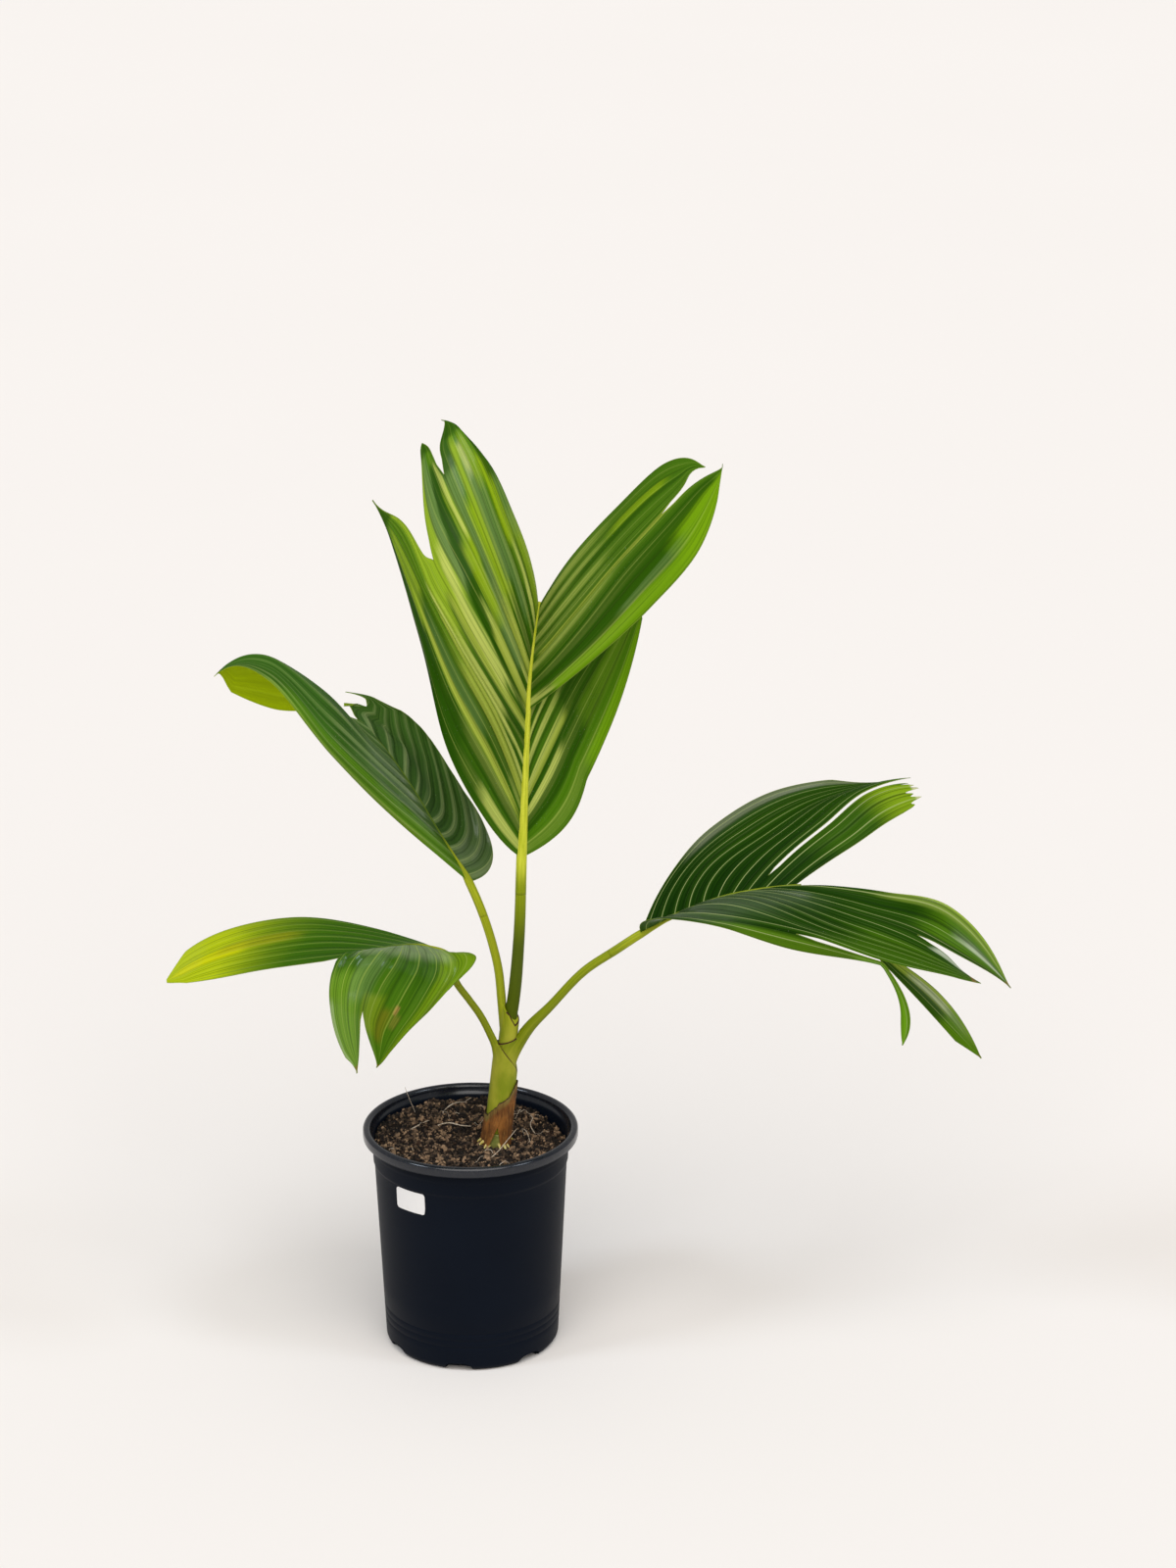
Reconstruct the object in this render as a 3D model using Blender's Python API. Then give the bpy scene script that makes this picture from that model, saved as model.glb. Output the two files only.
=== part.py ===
"""A potted chambeyronia palm: a nursery pot of potting mix, a short stem wrapped in its leaf sheaths, and four
fronds whose pleated blades are cut into a few broad fingers.

Run it with: blender --background --python part.py
Everything is in metres with +Z up. The origin is the middle of the pot's flat base, and -Y is the front.
Points that are easier to read in millimetres are written so and multiplied by MM.
"""

import math
from collections import namedtuple

import bpy
import numpy as np
from mathutils import Vector, noise

MM = 0.001
GAP = 0.35 * MM  # between two pieces that touch

# Pot
RIM_RADIUS = 100 * MM
POT_HEIGHT = 214 * MM
RIM_HEIGHT = 10 * MM
RIM_ROLL = 7.5 * MM
BASE_RADIUS = 81 * MM
NECK_RADIUS = 90.5 * MM
NECK_FLARE = 0.6 * MM  # how much wider the neck is under the rim
NECK_DEPTH = 32 * MM
NECK_STEP = 1.0 * MM
NECK_STEP_HEIGHT = 2 * MM
BASE_ROUND = 7 * MM
WALL = 1.8 * MM
POT_SIDES = 40
POT_FLOOR = 2.4 * MM
NOTCH_COUNT = 7
NOTCH_WIDTH = 27 * MM
NOTCH_HEIGHT = 7.5 * MM
NOTCH_DEPTH = 12 * MM
NOTCH_SPARE = (2 * MM, 5 * MM)  # how far a notch's cutter stands out below and outside the pot
FRONT_NOTCH_DEG = -8

# Label on the pot
LABEL_WIDTH = 33 * MM
LABEL_HEIGHT = 21 * MM
LABEL_CORNER = 3 * MM
LABEL_THICKNESS = 0.5 * MM
LABEL_MIDDLE = 169 * MM
LABEL_SIDE_DEG = -37

# Potting mix. A swell is its height, then its middle and its spread along X and Y, all in mm
SOIL_LEVEL = 201 * MM
SOIL_GAP = 0.4 * MM
SOIL_RINGS = 8
SOIL_SWELLS = [
    (5, (-35, 25), (45, 40)),  # heaped at the back left
    (-9, (72, 20), (28, 45)),  # sunk from the wall at the right
]
SOIL_LUMP = 4.5 * MM
LUMPS_PER_METRE = 90
FINE_LUMP = 0.6  # share of the coarse lumps' height that the fine ones have
FINE_LUMPS = 2.3  # how many fine lumps there are along each coarse one
HOLE_DEPTH = 45 * MM
HOLE_RADIUS = 17 * MM

# Stem: its axis leans to the right as it rises
STEM_FOOT = np.array([24, -13, 200]) * MM
STEM_LEAN = np.array([0.11, 0.0])
STEM_TOP = 214 * MM
STEM_RADIUS = 12 * MM
STEM_SIDES = 18

# Sheaths, from the oldest, which is dry, to the youngest, which has no bore. The edge is the slanting top edge,
# as (degrees round from +X, height in mm)
Sheath = namedtuple("Sheath", "outside bore edge")
DRY_SHEATH = Sheath(
    13.4 * MM,
    12.6 * MM,
    [(0, 263), (30, 262), (150, 236), (180, 233), (215, 233), (239, 239), (263, 246), (300, 252), (330, 263)],
)
LOWER_LEFT_SHEATH = Sheath(12.1 * MM, 10.75 * MM, [(10, 274), (110, 300), (180, 303), (237, 302), (350, 274)])
RIGHT_SHEATH = Sheath(10.3 * MM, 9.05 * MM, [(0, 310), (120, 303), (200, 302), (244, 304), (350, 310)])
UPPER_LEFT_SHEATH = Sheath(
    8.6 * MM, 6.2 * MM, [(0, 325), (60, 330), (180, 342), (259, 332), (306, 321), (340, 323)]
)
CENTRE_SHEATH = Sheath(5.8 * MM, None, [(0, 340)])
BORE_FOOT = 181 * MM
BORE_TOP = 380 * MM  # above every sheath

# The dry sheath's foot flares out and sits a little to the left, and it has split open in front
DRY_FOOT = 191 * MM
DRY_FOOT_RADIUS = 14 * MM
DRY_FOOT_SHIFT = -1.5 * MM
SPLIT_OUTLINE = [(15, 186), (34, 186), (33, 205), (26, 226), (24, 222)]  # x and z in mm
SPLIT_FRONT = -35 * MM
SPLIT_BACK = -18 * MM

# Blades
BLADE_THICKNESS = 0.8 * MM
FOLD_HEIGHT = 2.2 * MM
FOLD_START = 0.15  # share of the rib's length over which a fold rises from the midrib
LOBE_SHARE = 0.25  # shares of the rachis and of the ribs' length over which a blade's base bulges
LOBE_LENGTH = 0.35
TIP_WIDTH = 5 * MM
SLIT = 0.012  # share of the rachis by which each side of a slit stands back
BLADE_ROWS = 10
STALK_SIDES = 12
STALK_STEP = 18 * MM
BLADE_JOINT = 32 * MM  # how far below its lowest ribs a blade's own midrib starts
MIDRIB_END = 5 * MM  # how far the midrib runs on past the last ribs


def clear_scene():
    for obj in list(bpy.data.objects):
        bpy.data.objects.remove(obj)


def finish(name, colour, roughness):
    """A plain Principled material."""
    material = bpy.data.materials.new(name)
    material.use_nodes = True
    shader = material.node_tree.nodes["Principled BSDF"]
    shader.inputs["Base Color"].default_value = (*colour, 1)
    shader.inputs["Roughness"].default_value = roughness
    shader.inputs["Metallic"].default_value = 0
    return material


def solid(name, points, faces, *materials):
    mesh = bpy.data.meshes.new(name)
    mesh.from_pydata([tuple(p) for p in points], [], [tuple(int(i) for i in f) for f in faces])
    mesh.validate()
    for material in materials:
        mesh.materials.append(material)
    obj = bpy.data.objects.new(name, mesh)
    bpy.context.scene.collection.objects.link(obj)
    return obj


def smooth(obj, degrees=40):
    obj.data.shade_smooth()
    obj.data.set_sharp_from_angle(angle=math.radians(degrees))


def boolean(obj, operation, others):
    """Joins the others to obj, or cuts them from it, and removes them."""
    tools = bpy.data.collections.new("tools")
    for other in others:
        tools.objects.link(other)
    modifier = obj.modifiers.new(operation, "BOOLEAN")
    modifier.operation = operation
    modifier.solver = "EXACT"
    modifier.use_self = True
    modifier.operand_type = "COLLECTION"
    modifier.collection = tools
    bpy.context.view_layer.update()
    made = bpy.data.meshes.new_from_object(obj.evaluated_get(bpy.context.evaluated_depsgraph_get()))
    obj.modifiers.clear()
    obj.data = made
    for other in others:
        bpy.data.objects.remove(other)
    bpy.data.collections.remove(tools)


def curve(knots, values, at):
    """Smooth curves through the values at the knots, read at the places `at`.

    values is (knots, n) for one shared curve, or (places, knots, n) for a curve of its own at each place.
    """
    knots, values, at = (np.asarray(x, float) for x in (knots, values, at))
    slopes = np.gradient(values, knots, axis=-2, edge_order=2 if len(knots) > 2 else 1)
    left = np.clip(np.searchsorted(knots, at, side="right") - 1, 0, len(knots) - 2)
    span = (knots[left + 1] - knots[left])[:, None]
    t = (at - knots[left])[:, None] / span
    own = (np.arange(len(at)),) if values.ndim == 3 else ()
    start, end = values[(*own, left)], values[(*own, left + 1)]
    leave, arrive = slopes[(*own, left)] * span, slopes[(*own, left + 1)] * span
    return (
        (2 * t**3 - 3 * t**2 + 1) * start
        + (t**3 - 2 * t**2 + t) * leave
        + (3 * t**2 - 2 * t**3) * end
        + (t**3 - t**2) * arrive
    )


def tube(axis_points, heading, radii, sides):
    """Points and faces of a closed round tube through the axis points, none of which may head along Y."""
    heading = heading / np.linalg.norm(heading, axis=1)[:, None]
    across = np.cross([0, 1, 0], heading)
    across /= np.linalg.norm(across, axis=1)[:, None]
    rise = np.cross(heading, across)
    turn = np.arange(sides) * 2 * math.pi / sides
    rings = axis_points[:, None] + radii[:, None, None] * (
        np.cos(turn)[None, :, None] * across[:, None] + np.sin(turn)[None, :, None] * rise[:, None]
    )
    return rings.reshape(-1, 3), skin(len(axis_points), sides)


def skin(rings, sides, closed_ends=True):
    """Faces over rings of points, each ring wound the same way, with a cap on the first and last."""
    faces = []
    for ring in range(rings - 1):
        for side in range(sides):
            a, b = ring * sides + side, ring * sides + (side + 1) % sides
            faces.append((a, b, b + sides, a + sides))
    if closed_ends:
        faces.append(tuple(range(sides))[::-1])
        faces.append(tuple(range((rings - 1) * sides, rings * sides)))
    return faces


def turned(profile, sides):
    """Points and faces of a profile of (radius, height) turned about Z, starting and ending on the axis."""
    inner = profile[1:-1]
    turn = np.arange(sides) * 2 * math.pi / sides
    points = [(r * math.cos(a), r * math.sin(a), z) for r, z in inner for a in turn]
    faces = skin(len(inner), sides, closed_ends=False)
    first, last = len(points), len(points) + 1
    points += [(0, 0, profile[0][1]), (0, 0, profile[-1][1])]
    top_ring = (len(inner) - 1) * sides
    for side in range(sides):
        after = (side + 1) % sides
        faces.append((first, after, side))
        faces.append((last, top_ring + side, top_ring + after))
    return points, faces


# The pot: blow-moulded plastic with a rolled rim, a stepped neck and drain notches round its base
NECK_FOOT = POT_HEIGHT - NECK_DEPTH
NECK_STEP_FOOT = NECK_FOOT - NECK_STEP_HEIGHT


def pot_wall_radius(height):
    """Outside radius of the tapered wall between the base's round edge and the neck's step."""
    share = (height - BASE_ROUND) / (NECK_FOOT - BASE_ROUND)
    return BASE_RADIUS + share * (NECK_RADIUS - NECK_STEP - BASE_RADIUS)


def pot_profile():
    """(radius, height) from the middle of the base, up the outside, over the rim and down the inside."""
    base_arc = [
        (
            BASE_RADIUS - BASE_ROUND * (1 - math.sin(a)),
            BASE_ROUND * (1 - math.cos(a)),
        )
        for a in np.linspace(0, math.pi / 2, 4)
    ]
    under_rim = POT_HEIGHT - RIM_HEIGHT
    neck_top = NECK_RADIUS + NECK_FLARE
    half_roll = RIM_ROLL / 2
    rim_middle = RIM_RADIUS - half_roll
    rim_arc = [
        (
            rim_middle + half_roll * math.cos(a),
            POT_HEIGHT - half_roll + half_roll * math.sin(a),
        )
        for a in np.linspace(0, math.pi, 7)
    ]
    outside = [
        (0, 0),
        *base_arc,
        (pot_wall_radius(NECK_STEP_FOOT), NECK_STEP_FOOT),
        (NECK_RADIUS, NECK_FOOT),
        (neck_top, under_rim),
        (RIM_RADIUS - NECK_FLARE, under_rim),
    ]
    inside = [
        (neck_top - WALL, under_rim),
        (NECK_RADIUS - WALL, NECK_FOOT),
        (pot_wall_radius(NECK_STEP_FOOT) - WALL, NECK_STEP_FOOT),
        (BASE_RADIUS - WALL, BASE_ROUND + WALL),
        (BASE_RADIUS - BASE_ROUND + WALL / 2, POT_FLOOR),
        (0, POT_FLOOR),
    ]
    return outside + rim_arc + inside


def drain_notches():
    """Cutters for the notches in the corner between the wall and the base, each with a rounded head."""
    cutters = []
    for i in range(NOTCH_COUNT):
        around = math.radians(FRONT_NOTCH_DEG - 90) + i * 2 * math.pi / NOTCH_COUNT
        outline = [(-NOTCH_WIDTH / 2, -NOTCH_SPARE[0]), (NOTCH_WIDTH / 2, -NOTCH_SPARE[0])]
        outline += [
            (NOTCH_WIDTH / 2 * math.cos(a) ** 0.6, NOTCH_HEIGHT * math.sin(a) ** 0.8)
            for a in np.radians([25, 50, 80])
        ]
        outline += [(-x, z) for x, z in outline[:1:-1]]
        reach = (BASE_RADIUS - NOTCH_DEPTH, BASE_RADIUS + NOTCH_SPARE[1])
        points = [
            (r * math.cos(around) - x * math.sin(around), r * math.sin(around) + x * math.cos(around), z)
            for r in reach
            for x, z in outline
        ]
        cutters.append(solid(f"notch_{i}", points, skin(2, len(outline))))
    return cutters


def make_pot(plastic):
    pot = solid("pot", *turned(pot_profile(), POT_SIDES), plastic)
    boolean(pot, "DIFFERENCE", drain_notches())
    smooth(pot)


def make_label(paper):
    """A small blank sticker with rounded corners, bent round the pot's wall."""
    corner = [
        (LABEL_CORNER * math.cos(a), LABEL_CORNER * math.sin(a)) for a in np.linspace(0, math.pi / 2, 4)
    ]
    half_width, half_height = LABEL_WIDTH / 2 - LABEL_CORNER, LABEL_HEIGHT / 2 - LABEL_CORNER
    right = [(half_width + x, half_height + z) for x, z in corner]
    top = [(half_width * share, LABEL_HEIGHT / 2) for share in (0.5, 0, -0.5)]
    left = [(-x, z) for x, z in right[::-1]]
    upper = right + top + left
    outline = upper + [(-x, -z) for x, z in upper]
    middle = math.radians(LABEL_SIDE_DEG - 90)
    columns = []
    for out in (GAP, GAP + LABEL_THICKNESS):
        for x, z in outline:
            height = LABEL_MIDDLE + z
            radius = pot_wall_radius(height) + out
            around = middle + x / radius
            columns.append((radius * math.cos(around), radius * math.sin(around), height))
    # The outline's points in matching columns, left to right, so that each strip of the face bends with the wall
    count = len(outline)
    half = count // 2
    lower = list(range(half, count))[::-1]
    strips = [(i, lower[i]) for i in range(half)]
    faces = []
    for (a, b), (c, d) in zip(strips, strips[1:]):
        faces += [(a, c, d), (a, d, b)]
        faces += [(a + count, d + count, c + count), (a + count, b + count, d + count)]
    for i in range(count):
        after = (i + 1) % count
        faces += [(i, i + count, after + count), (i, after + count, after)]
    label = solid("label", columns, faces, paper)
    label.data.flip_normals()
    smooth(label)


# The potting mix: a plug that fills the pot, with a lumpy top and a plain hole for the stem
def stem_axis(height):
    """(x, y) of the stem's axis at a height."""
    return STEM_FOOT[:2] + (height - STEM_FOOT[2]) * STEM_LEAN


def soil_height(x, y):
    """The lumpy top of the mix, which is level at the rim of the stem's hole."""
    swell = 0
    for height, middle, spread in SOIL_SWELLS:
        away = (np.array([x, y]) / MM - middle) / spread
        swell += height * MM * math.exp(-away @ away)
    place = Vector((x, y, 0)) * LUMPS_PER_METRE
    lumps = noise.noise(place) + FINE_LUMP * noise.noise(place * FINE_LUMPS)
    from_hole = math.hypot(x - STEM_FOOT[0], y - STEM_FOOT[1]) / HOLE_RADIUS - 1
    return SOIL_LEVEL + swell + SOIL_LUMP * lumps * min(1, max(0, from_hole))


def make_soil(mix):
    middle = np.array(stem_axis(SOIL_LEVEL - HOLE_DEPTH / 2))
    turn = np.arange(POT_SIDES) * 2 * math.pi / POT_SIDES
    way = np.stack([np.cos(turn), np.sin(turn)], axis=1)
    floor = SOIL_LEVEL - HOLE_DEPTH
    rings = [
        np.column_stack([way * (radius - WALL - SOIL_GAP), np.full(POT_SIDES, height)])
        for radius, height in (
            (BASE_RADIUS - BASE_ROUND, POT_FLOOR + GAP),
            (BASE_RADIUS, BASE_ROUND + WALL),
            (pot_wall_radius(NECK_STEP_FOOT), NECK_STEP_FOOT),
        )
    ]
    edge = NECK_RADIUS - WALL - SOIL_GAP
    for ring in range(SOIL_RINGS):
        share = ring / (SOIL_RINGS - 1)
        flat = (1 - share) * way * edge + share * (middle + way * HOLE_RADIUS)
        heights = [soil_height(x, y) for x, y in flat]
        rings.append(np.column_stack([flat, heights]))
    rings.append(np.column_stack([middle + way * HOLE_RADIUS, np.full(POT_SIDES, floor)]))
    points = np.concatenate(rings)
    soil = solid("soil", points, skin(len(rings), POT_SIDES), mix)
    smooth(soil, 60)


# The stem and its sheaths
def sleeve(foot, edge, radii, steps=3, foot_shift=0, turned_by=0):
    """Points and faces of a solid round the stem's axis.

    edge is its top edge as (degrees round from +X, height in mm), and radii are those at the foot and at the top.
    Its facets are turned by a share of one facet.
    """
    turn = (np.arange(STEM_SIDES) + turned_by) * 360 / STEM_SIDES
    edge = np.interp(turn, *zip(*edge), period=360) * MM
    points = []
    for share in np.linspace(0, 1, steps + 1):
        radius = radii[0] + share * (radii[1] - radii[0])
        for degrees, z in zip(turn, foot + share * (edge - foot)):
            x, y = stem_axis(z)
            x += foot_shift * (1 - share)
            a = math.radians(degrees)
            points.append((x + radius * math.cos(a), y + radius * math.sin(a), z))
    faces = skin(steps + 1, STEM_SIDES)[:-1]
    middle_height = float(edge.mean())
    points.append((*stem_axis(middle_height), middle_height))
    first = steps * STEM_SIDES
    faces += [(first + i, first + (i + 1) % STEM_SIDES, len(points) - 1) for i in range(STEM_SIDES)]
    return points, faces


def bore(radius):
    """A cutter through a sheath, its facets half a turn from the sheath's so that no two edges meet."""
    return solid("bore", *sleeve(BORE_FOOT, [(0, BORE_TOP / MM)], (radius, radius), steps=1, turned_by=0.5))


def make_stem(stem_green):
    foot = SOIL_LEVEL - HOLE_DEPTH + GAP
    stem = solid("stem", *sleeve(foot, [(0, STEM_TOP / MM)], (STEM_RADIUS, STEM_RADIUS), steps=2), stem_green)
    smooth(stem, 60)


def make_dry_sheath(husk):
    """The papery remains of the oldest leaf's base, open low in front where it has split."""
    radii = (DRY_FOOT_RADIUS, DRY_SHEATH.outside)
    sheath = solid("dry_sheath", *sleeve(DRY_FOOT, DRY_SHEATH.edge, radii, foot_shift=DRY_FOOT_SHIFT), husk)
    points = [(x * MM, y, z * MM) for y in (SPLIT_FRONT, SPLIT_BACK) for x, z in SPLIT_OUTLINE]
    split = solid("split", points, skin(2, len(SPLIT_OUTLINE)))
    split.data.flip_normals()
    boolean(sheath, "DIFFERENCE", [bore(DRY_SHEATH.bore), split])
    smooth(sheath, 60)


# A frond's stalk: one axis from the sheath to the last ribs, smooth through a few points
class Stalk:
    def __init__(self, petiole, rachis):
        """Points of (x, y, z, radius) in mm; the first ribs leave from the first point of the rachis."""
        self.points = np.array(petiole + rachis, float) * MM
        steps = np.linalg.norm(np.diff(self.points[:, :3], axis=0), axis=1)
        self.knots = np.concatenate([[0], np.cumsum(steps)])
        self.blade_start = self.knots[len(petiole)]
        self.length = self.knots[-1]

    def at(self, lengths):
        return curve(self.knots, self.points, np.asarray(lengths, float))

    def rachis(self, shares):
        return self.at(self.blade_start + np.asarray(shares, float) * (self.length - self.blade_start))[:, :3]

    def piece(self, start, end):
        """A tube along part of the axis."""
        lengths = np.linspace(start, end, round((end - start) / STALK_STEP) + 2)
        places = self.at(lengths)
        heading = self.at(lengths + 0.1 * MM)[:, :3] - places[:, :3]
        return tube(places[:, :3], heading, places[:, 3], STALK_SIDES)


# A blade: a smooth sheet spanned by a few guide ribs, folded along its ribs and cut into fingers
RIB_KNOTS = np.linspace(0, 1, 5)

# Shares of the rachis where a finger's first and last ribs and its tip's rib leave, how many folds it has, and
# (row, power) where each margin starts to close on the tip. Between two fingers that row is the bottom of a slit.
Finger = namedtuple("Finger", "first last tip folds left right curl", defaults=((10, 1), (10, 1), (0, 0, 0)))


class Blade:
    def __init__(self, ribs, fingers, lobe=(0, 0, 0)):
        """ribs: {share of the rachis where one leaves: its points in mm at each quarter of its length}.

        lobe is how far in mm the base of the blade bulges back past its first ribs' root.
        """
        self.shares = np.array(sorted(ribs))
        self.guides = np.array([ribs[share] for share in self.shares], float) * MM
        self.fingers = fingers
        self.lobe = np.array(lobe) * MM

    def sheet(self, stalk, share, along):
        guides = self.guides.reshape(len(self.shares), -1)
        later = curve(self.shares, guides, share).reshape(len(share), 4, 3)
        controls = np.concatenate([stalk.rachis(share)[:, None], later], axis=1)
        near_base = np.clip(1 - share / LOBE_SHARE, 0, 1) ** 2
        bulge = near_base * np.sin(math.pi * np.clip(along / LOBE_LENGTH, 0, 1))
        return curve(RIB_KNOTS, controls, along) + bulge[:, None] * self.lobe

    def body(self, stalk, rows):
        """Points and triangles of the blade, the same triangles on both faces."""
        index, places, triangles, tips = {}, [], [], []

        def point(number, finger, column, row):
            """The index of a point; fingers share those of the slit between them up to its bottom."""
            across = column / (2 * finger.folds)
            closing_row = finger.left[0] + across * (finger.right[0] - finger.left[0])
            key = (first_column + column, row, number if row > closing_row + 1e-6 else None)
            if key not in index:
                power = finger.left[1] + across * (finger.right[1] - finger.left[1])
                closing = 1 if row == rows else past(closing_row, row, rows) ** power
                share = finger.first + across * (finger.last - finger.first)
                if key[2] is not None and column % (2 * finger.folds) == 0:
                    share += SLIT if column == 0 else -SLIT
                free_row = max(start for start, _ in (finger.left, finger.right, (0, 1)) if start < rows)
                curl = past(free_row, row, rows) ** 2 * np.array(finger.curl) * MM
                index[key] = len(places)
                fold = column % 2 if row < rows else 0
                places.append((share + (finger.tip - share) * closing, row / rows, fold, *curl))
            return index[key]

        first_column = 0
        for number, finger in enumerate(self.fingers):
            columns = 2 * finger.folds
            for column in range(columns):
                for row in range(rows):
                    a, b, c, d = (
                        point(number, finger, column + x, row + y) for x, y in ((0, 0), (1, 0), (1, 1), (0, 1))
                    )
                    triangles += [(a, b, c), (a, c, d)]
            last_rows = (rows - 1, rows)
            tips.append([[point(number, finger, c, row) for c in range(columns + 1)] for row in last_rows])
            first_column += columns
        share, along, fold, *curl = np.array(places).T
        middle = self.sheet(stalk, share, along) + np.array(curl).T
        for before, tip in tips:
            across = middle[before[-1]] - middle[before[0]]
            spread = np.linspace(-0.5, 0.5, len(tip))[:, None] * TIP_WIDTH / np.linalg.norm(across)
            middle[tip] += spread * across
        rise = FOLD_HEIGHT * fold * np.minimum(1, along / FOLD_START) * np.maximum(0, 1 - along)
        middle += facing(middle, triangles) * rise[:, None]
        normal = facing(middle, triangles)
        for _, tip in tips:
            normal[tip] = normal[tip].mean(axis=0) / np.linalg.norm(normal[tip].mean(axis=0))
        half = normal * BLADE_THICKNESS / 2
        return thickened(middle + half, middle - half, triangles)


def facing(points, triangles):
    """The way each point faces, from the triangles round it."""
    a, b, c = np.array(triangles).T
    normals = np.cross(points[b] - points[a], points[c] - points[a])
    total = np.zeros_like(points)
    for corner in (a, b, c):
        np.add.at(total, corner, normals)
    return total / np.linalg.norm(total, axis=1)[:, None]


def past(start, row, rows):
    """How far a row is along the rows from a start to the last, from 0 to 1."""
    return (row - start) / (rows - start) if row > start else 0


def thickened(upper, lower, triangles):
    """A closed body between two faces that share their triangles."""
    count = len(upper)
    edges = {}
    for a, b, c in triangles:
        for edge in ((a, b), (b, c), (c, a)):
            edges[edge] = True
    faces = list(triangles) + [(a + count, c + count, b + count) for a, b, c in triangles]
    for a, b in edges:
        if (b, a) not in edges:
            faces += [(b, a, a + count), (b, a + count, b + count)]
    return np.concatenate([upper, lower]), faces


def make_frond(name, stalk, blades, sheath, greens):
    """A frond as two bodies: its sheath and petiole, and its blade with the midrib that the blade grows from."""
    stalk_green, blade_green = greens
    joint = stalk.blade_start - BLADE_JOINT
    petiole = solid(f"{name}_petiole", *stalk.piece(0, joint - GAP / 2), stalk_green)
    wrap = solid("wrap", *sleeve(STEM_TOP + GAP, sheath.edge, (sheath.outside, sheath.outside)))
    boolean(petiole, "UNION", [wrap])
    if sheath.bore:
        boolean(petiole, "DIFFERENCE", [bore(sheath.bore)])
    smooth(petiole, 50)
    leaf = solid(f"{name}_blade", *stalk.piece(joint + GAP / 2, stalk.length + MIDRIB_END), blade_green)
    boolean(leaf, "UNION", [solid("half", *blade.body(stalk, BLADE_ROWS), blade_green) for blade in blades])
    smooth(leaf, 30)


# Centre frond: the youngest, upright, with its upper face to the front
CENTRE = Stalk(
    petiole=[(37, -13, 320, 5.8), (41, -13, 345, 5.7), (46, -12, 400, 5.3)],
    rachis=[(49, -8, 480, 4.8), (53, -2, 586, 3.8), (57, 3, 648, 2.8), (65, 8, 711, 1.7)],
)
CENTRE_LEFT = Blade(
    ribs={
        0.00: [(18, -22, 520), (-17, -30, 593), (-39, -18, 687), (-75, 10, 806)],
        0.15: [(24, -28, 590), (-9, -38, 661), (-43, -25, 740), (-75, 10, 806)],
        0.54: [(31, -28, 656), (-5, -38, 727), (-38, -28, 784), (-58, 0, 838)],
        0.66: [(31, -25, 703), (5, -35, 764), (-22, -25, 817), (-37, 5, 862)],
        0.80: [(43, -20, 728), (23, -30, 789), (2, -22, 844), (-18, 5, 882)],
        1.00: [(58, -5, 760), (43, -12, 804), (21, -12, 850), (-15, 5, 880)],
    },
    fingers=[
        Finger(0, 0.54, 0.12, folds=5, left=(8, 1.6), right=(7, 2.2)),
        Finger(0.54, 0.72, 0.69, folds=2, left=(7, 1), right=(8, 1.5)),
        Finger(0.72, 1, 0.92, folds=3, left=(8, 1.5), right=(9, 1)),
    ],
)
CENTRE_RIGHT_LOW = Blade(
    ribs={
        0.00: [(90, 15, 518), (123, 35, 580), (146, 45, 652), (162, 42, 719)],
        0.30: [(69, 15, 594), (94, 28, 641), (127, 36, 684), (163, 40, 721)],
        0.56: [(74, 12, 646), (100, 25, 674), (134, 33, 699), (165, 38, 724)],
    },
    fingers=[Finger(0, 0.56, 0.3, folds=3, right=(8, 1.5))],
)
CENTRE_RIGHT_HIGH = Blade(
    ribs={
        0.59: [(112, -30, 672), (164, -50, 728), (208, -60, 788), (224, -60, 859)],
        0.68: [(100, -28, 696), (143, -48, 758), (185, -58, 810), (224, -60, 859)],
        0.78: [(94, -22, 711), (133, -40, 765), (171, -52, 811), (209, -56, 855)],
        1.00: [(95, -5, 755), (138, -20, 806), (179, -36, 852), (206, -50, 857)],
    },
    fingers=[Finger(0.59, 0.78, 0.6, folds=3, right=(9, 1.5)), Finger(0.78, 1, 1, folds=2, left=(9, 1.5))],
)

# Upper left frond: leans left, its near half folded down and its far half standing up
UPPER_LEFT = Stalk(
    petiole=[(34, -13, 300, 4.6), (32, -12, 319, 4.2), (30, -11, 343, 4), (27, -8, 373, 4), (22, -5, 395, 4)],
    rachis=[
        (1, 4, 452, 3.9), (-29, 10, 503, 3.4), (-47, 12, 535, 2.9), (-71, 15, 572, 2.2), (-91, 18, 596, 1.5),
    ],
)
UPPER_LEFT_NEAR = Blade(
    ribs={
        0.00: [(-67, -35, 531), (-118, -50, 592), (-173, -42, 657), (-223, -18, 654)],
        0.40: [(-74, -35, 567), (-119, -44, 616), (-173, -22, 665), (-223, -12, 653)],
        0.75: [(-88, 2, 590), (-129, 5, 634), (-181, 5, 663), (-224, -5, 649)],
        1.00: [(-104, 20, 604), (-140, 32, 606), (-178, 30, 610), (-224, 5, 641)],
    },
    fingers=[Finger(0, 1, 0.5, folds=7)],
)
UPPER_LEFT_FAR = Blade(
    ribs={
        0.00: [(19, 35, 482), (-11, 60, 531), (-48, 70, 582), (-96, 62, 613)],
        0.30: [(-18, 33, 504), (-36, 55, 546), (-65, 65, 584), (-96, 60, 613)],
        0.60: [(-53, 30, 562), (-69, 44, 582), (-86, 50, 598), (-106, 46, 612)],
        1.00: [(-99, 25, 604), (-103, 30, 607), (-108, 35, 610), (-112, 38, 613)],
    },
    fingers=[
        Finger(0, 0.6, 0.3, folds=5, right=(8, 1.5), curl=(-14, 2, 4)),
        Finger(0.6, 1, 0.9, folds=2, left=(8, 1.5)),
    ],
    lobe=(3, 0, -8),
)

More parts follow.
